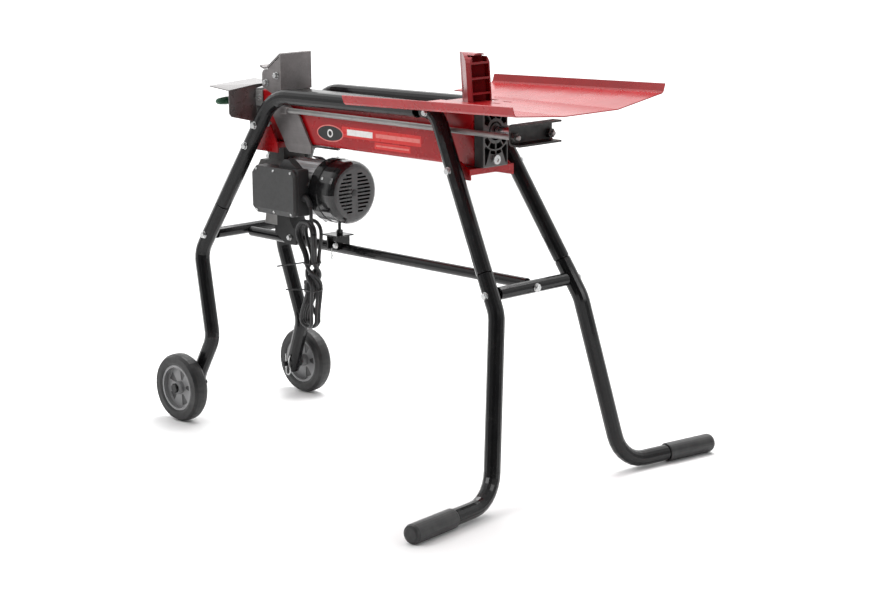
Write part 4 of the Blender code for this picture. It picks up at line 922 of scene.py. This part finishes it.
def beam_label():
    """A plain oval badge and plain bars, printed on both sides of the beam."""
    for label, side in (("near", -1), ("far", 1)):
        at = Matrix.Translation((0, side * 0.0360, 0)) @ Matrix.Rotation(math.pi / 2, 4, "X")

        def strip(name, look, outlines, proud):
            build = Build()
            low, high = sorted((0.0, -side * proud))
            for outline in outlines:
                build.prism(at, outline, low, high)
            build.finish(f"{name}_{label}", "red_paint", look=look)

        border, inner, disc, core = (oval(-0.1420, 0.6790, *halves) for halves in (
            (0.0430, 0.0185), (0.0400, 0.0160), (0.0090, 0.0090), (0.0056, 0.0056)))
        strip("label_band", "label_red", [rectangle(-0.1040, -0.0030, 0.6745, 0.6975),
                                          rectangle(-0.0030, 0.1430, 0.6745, 0.6975),
                                          rectangle(0.0000, 0.1100, 0.6580, 0.6720)], 0.00018)
        strip("label_border", "label_pale", [border], 0.00024)
        strip("label_badge", "label_black", [inner], 0.00030)
        strip("label_ring", "label_white", [disc], 0.00036)
        strip("label_core", "label_black", [core], 0.00042)
        strip("label_bars", "label_white", [rectangle(-0.0870, -0.0060, 0.6795, 0.6925)], 0.00030)
        strip("label_lines", "label_pale", [rectangle(0.0040, 0.1390, 0.6820, 0.6905),
                                            rectangle(0.0040, 0.1060, 0.6630, 0.6668)], 0.00030)


def rectangle(left, right, low, high):
    return [(left, low), (right, low), (right, high), (left, high)]


def oval(x, z, half_wide, half_high, sides=48):
    return [(x + half_wide * math.cos(math.tau * i / sides), z + half_high * math.sin(math.tau * i / sides))
            for i in range(sides)]


def wheel_webs():
    """The dark panel behind each wheel's spokes, a full disc that the axle passes through and that closes
    the windows; its dark colour is painted shade for the recess behind the spokes.
    """
    for label, side in (("near", -1), ("far", 1)):
        low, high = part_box(f"wheel_rim_{label}")
        middle = [(a + b) / 2 for a, b in zip(low, high)]
        seat = facing(middle, (0, side, 0))
        web = Build().lathe(seat, [(0.0, -0.0018), (0.0462, -0.0018), (0.0462, 0.0018), (0.0, 0.0018)], 48)
        # The web_plastic look is far darker than the rim: painted shade in the recess behind the spokes.
        web.finish(f"wheel_web_{label}", "rim_plastic", f"wheel_{label}", look="web_plastic")


def bar_clip():
    """The wire clip below the long bar, and a bolt in each motor foot."""
    hook = [(-0.1700, -0.0130, 0.4190), (-0.1704, -0.0140, 0.4090), (-0.1710, -0.0140, 0.3980),
            (-0.1680, -0.0140, 0.3950), (-0.1655, -0.0140, 0.3985), (-0.1672, -0.0140, 0.4060)]
    wire("bar_clip", hook, 0.0010, "zinc", resolution=2)
    Build().bolt(facing((-0.1485, -0.0192, 0.4290), (0, -1, 0)), 0.010, 0.0050, 0.0066).finish(
        "front_foot_bolt", "zinc")
    Build().bolt(facing((-0.3085, -0.0166, 0.4273), (0, -1, 0)), 0.010, 0.0050, 0.0066).finish(
        "rear_foot_bolt", "zinc")


def build_all():
    camera()
    studio()
    slot_materials()
    mains_cord()
    dress_nodes()
    for name, width in (("tray", 0.0006), ("beam", 0.0008), ("crosshead", 0.0008),
                        ("carriage_side_near", 0.0007), ("carriage_side_far", 0.0007),
                        ("front_bracket", 0.0008), ("rear_bracket", 0.0008), ("pusher_plate", 0.0006),
                        ("end_casting", 0.0005), ("pump_body", 0.0015),
                        ("valve_block", 0.0008), ("switch_box", 0.0010), ("switch_box_cover", 0.0010),
                        ("motor_can", 0.0003), ("wheel_rim_near", 0.0006), ("wheel_rim_far", 0.0006)):
        rounded(name, width)
    leg_bolts()
    crossbar_bolt()
    axle_fittings()
    carriage_bolts()
    keeper_bolts()
    box_screws()
    guard_bracket()
    oil_lines()
    bell_bolts()
    cover_screws()
    rating_plate()
    beam_label()
    wheel_webs()
    bar_clip()


build_all()
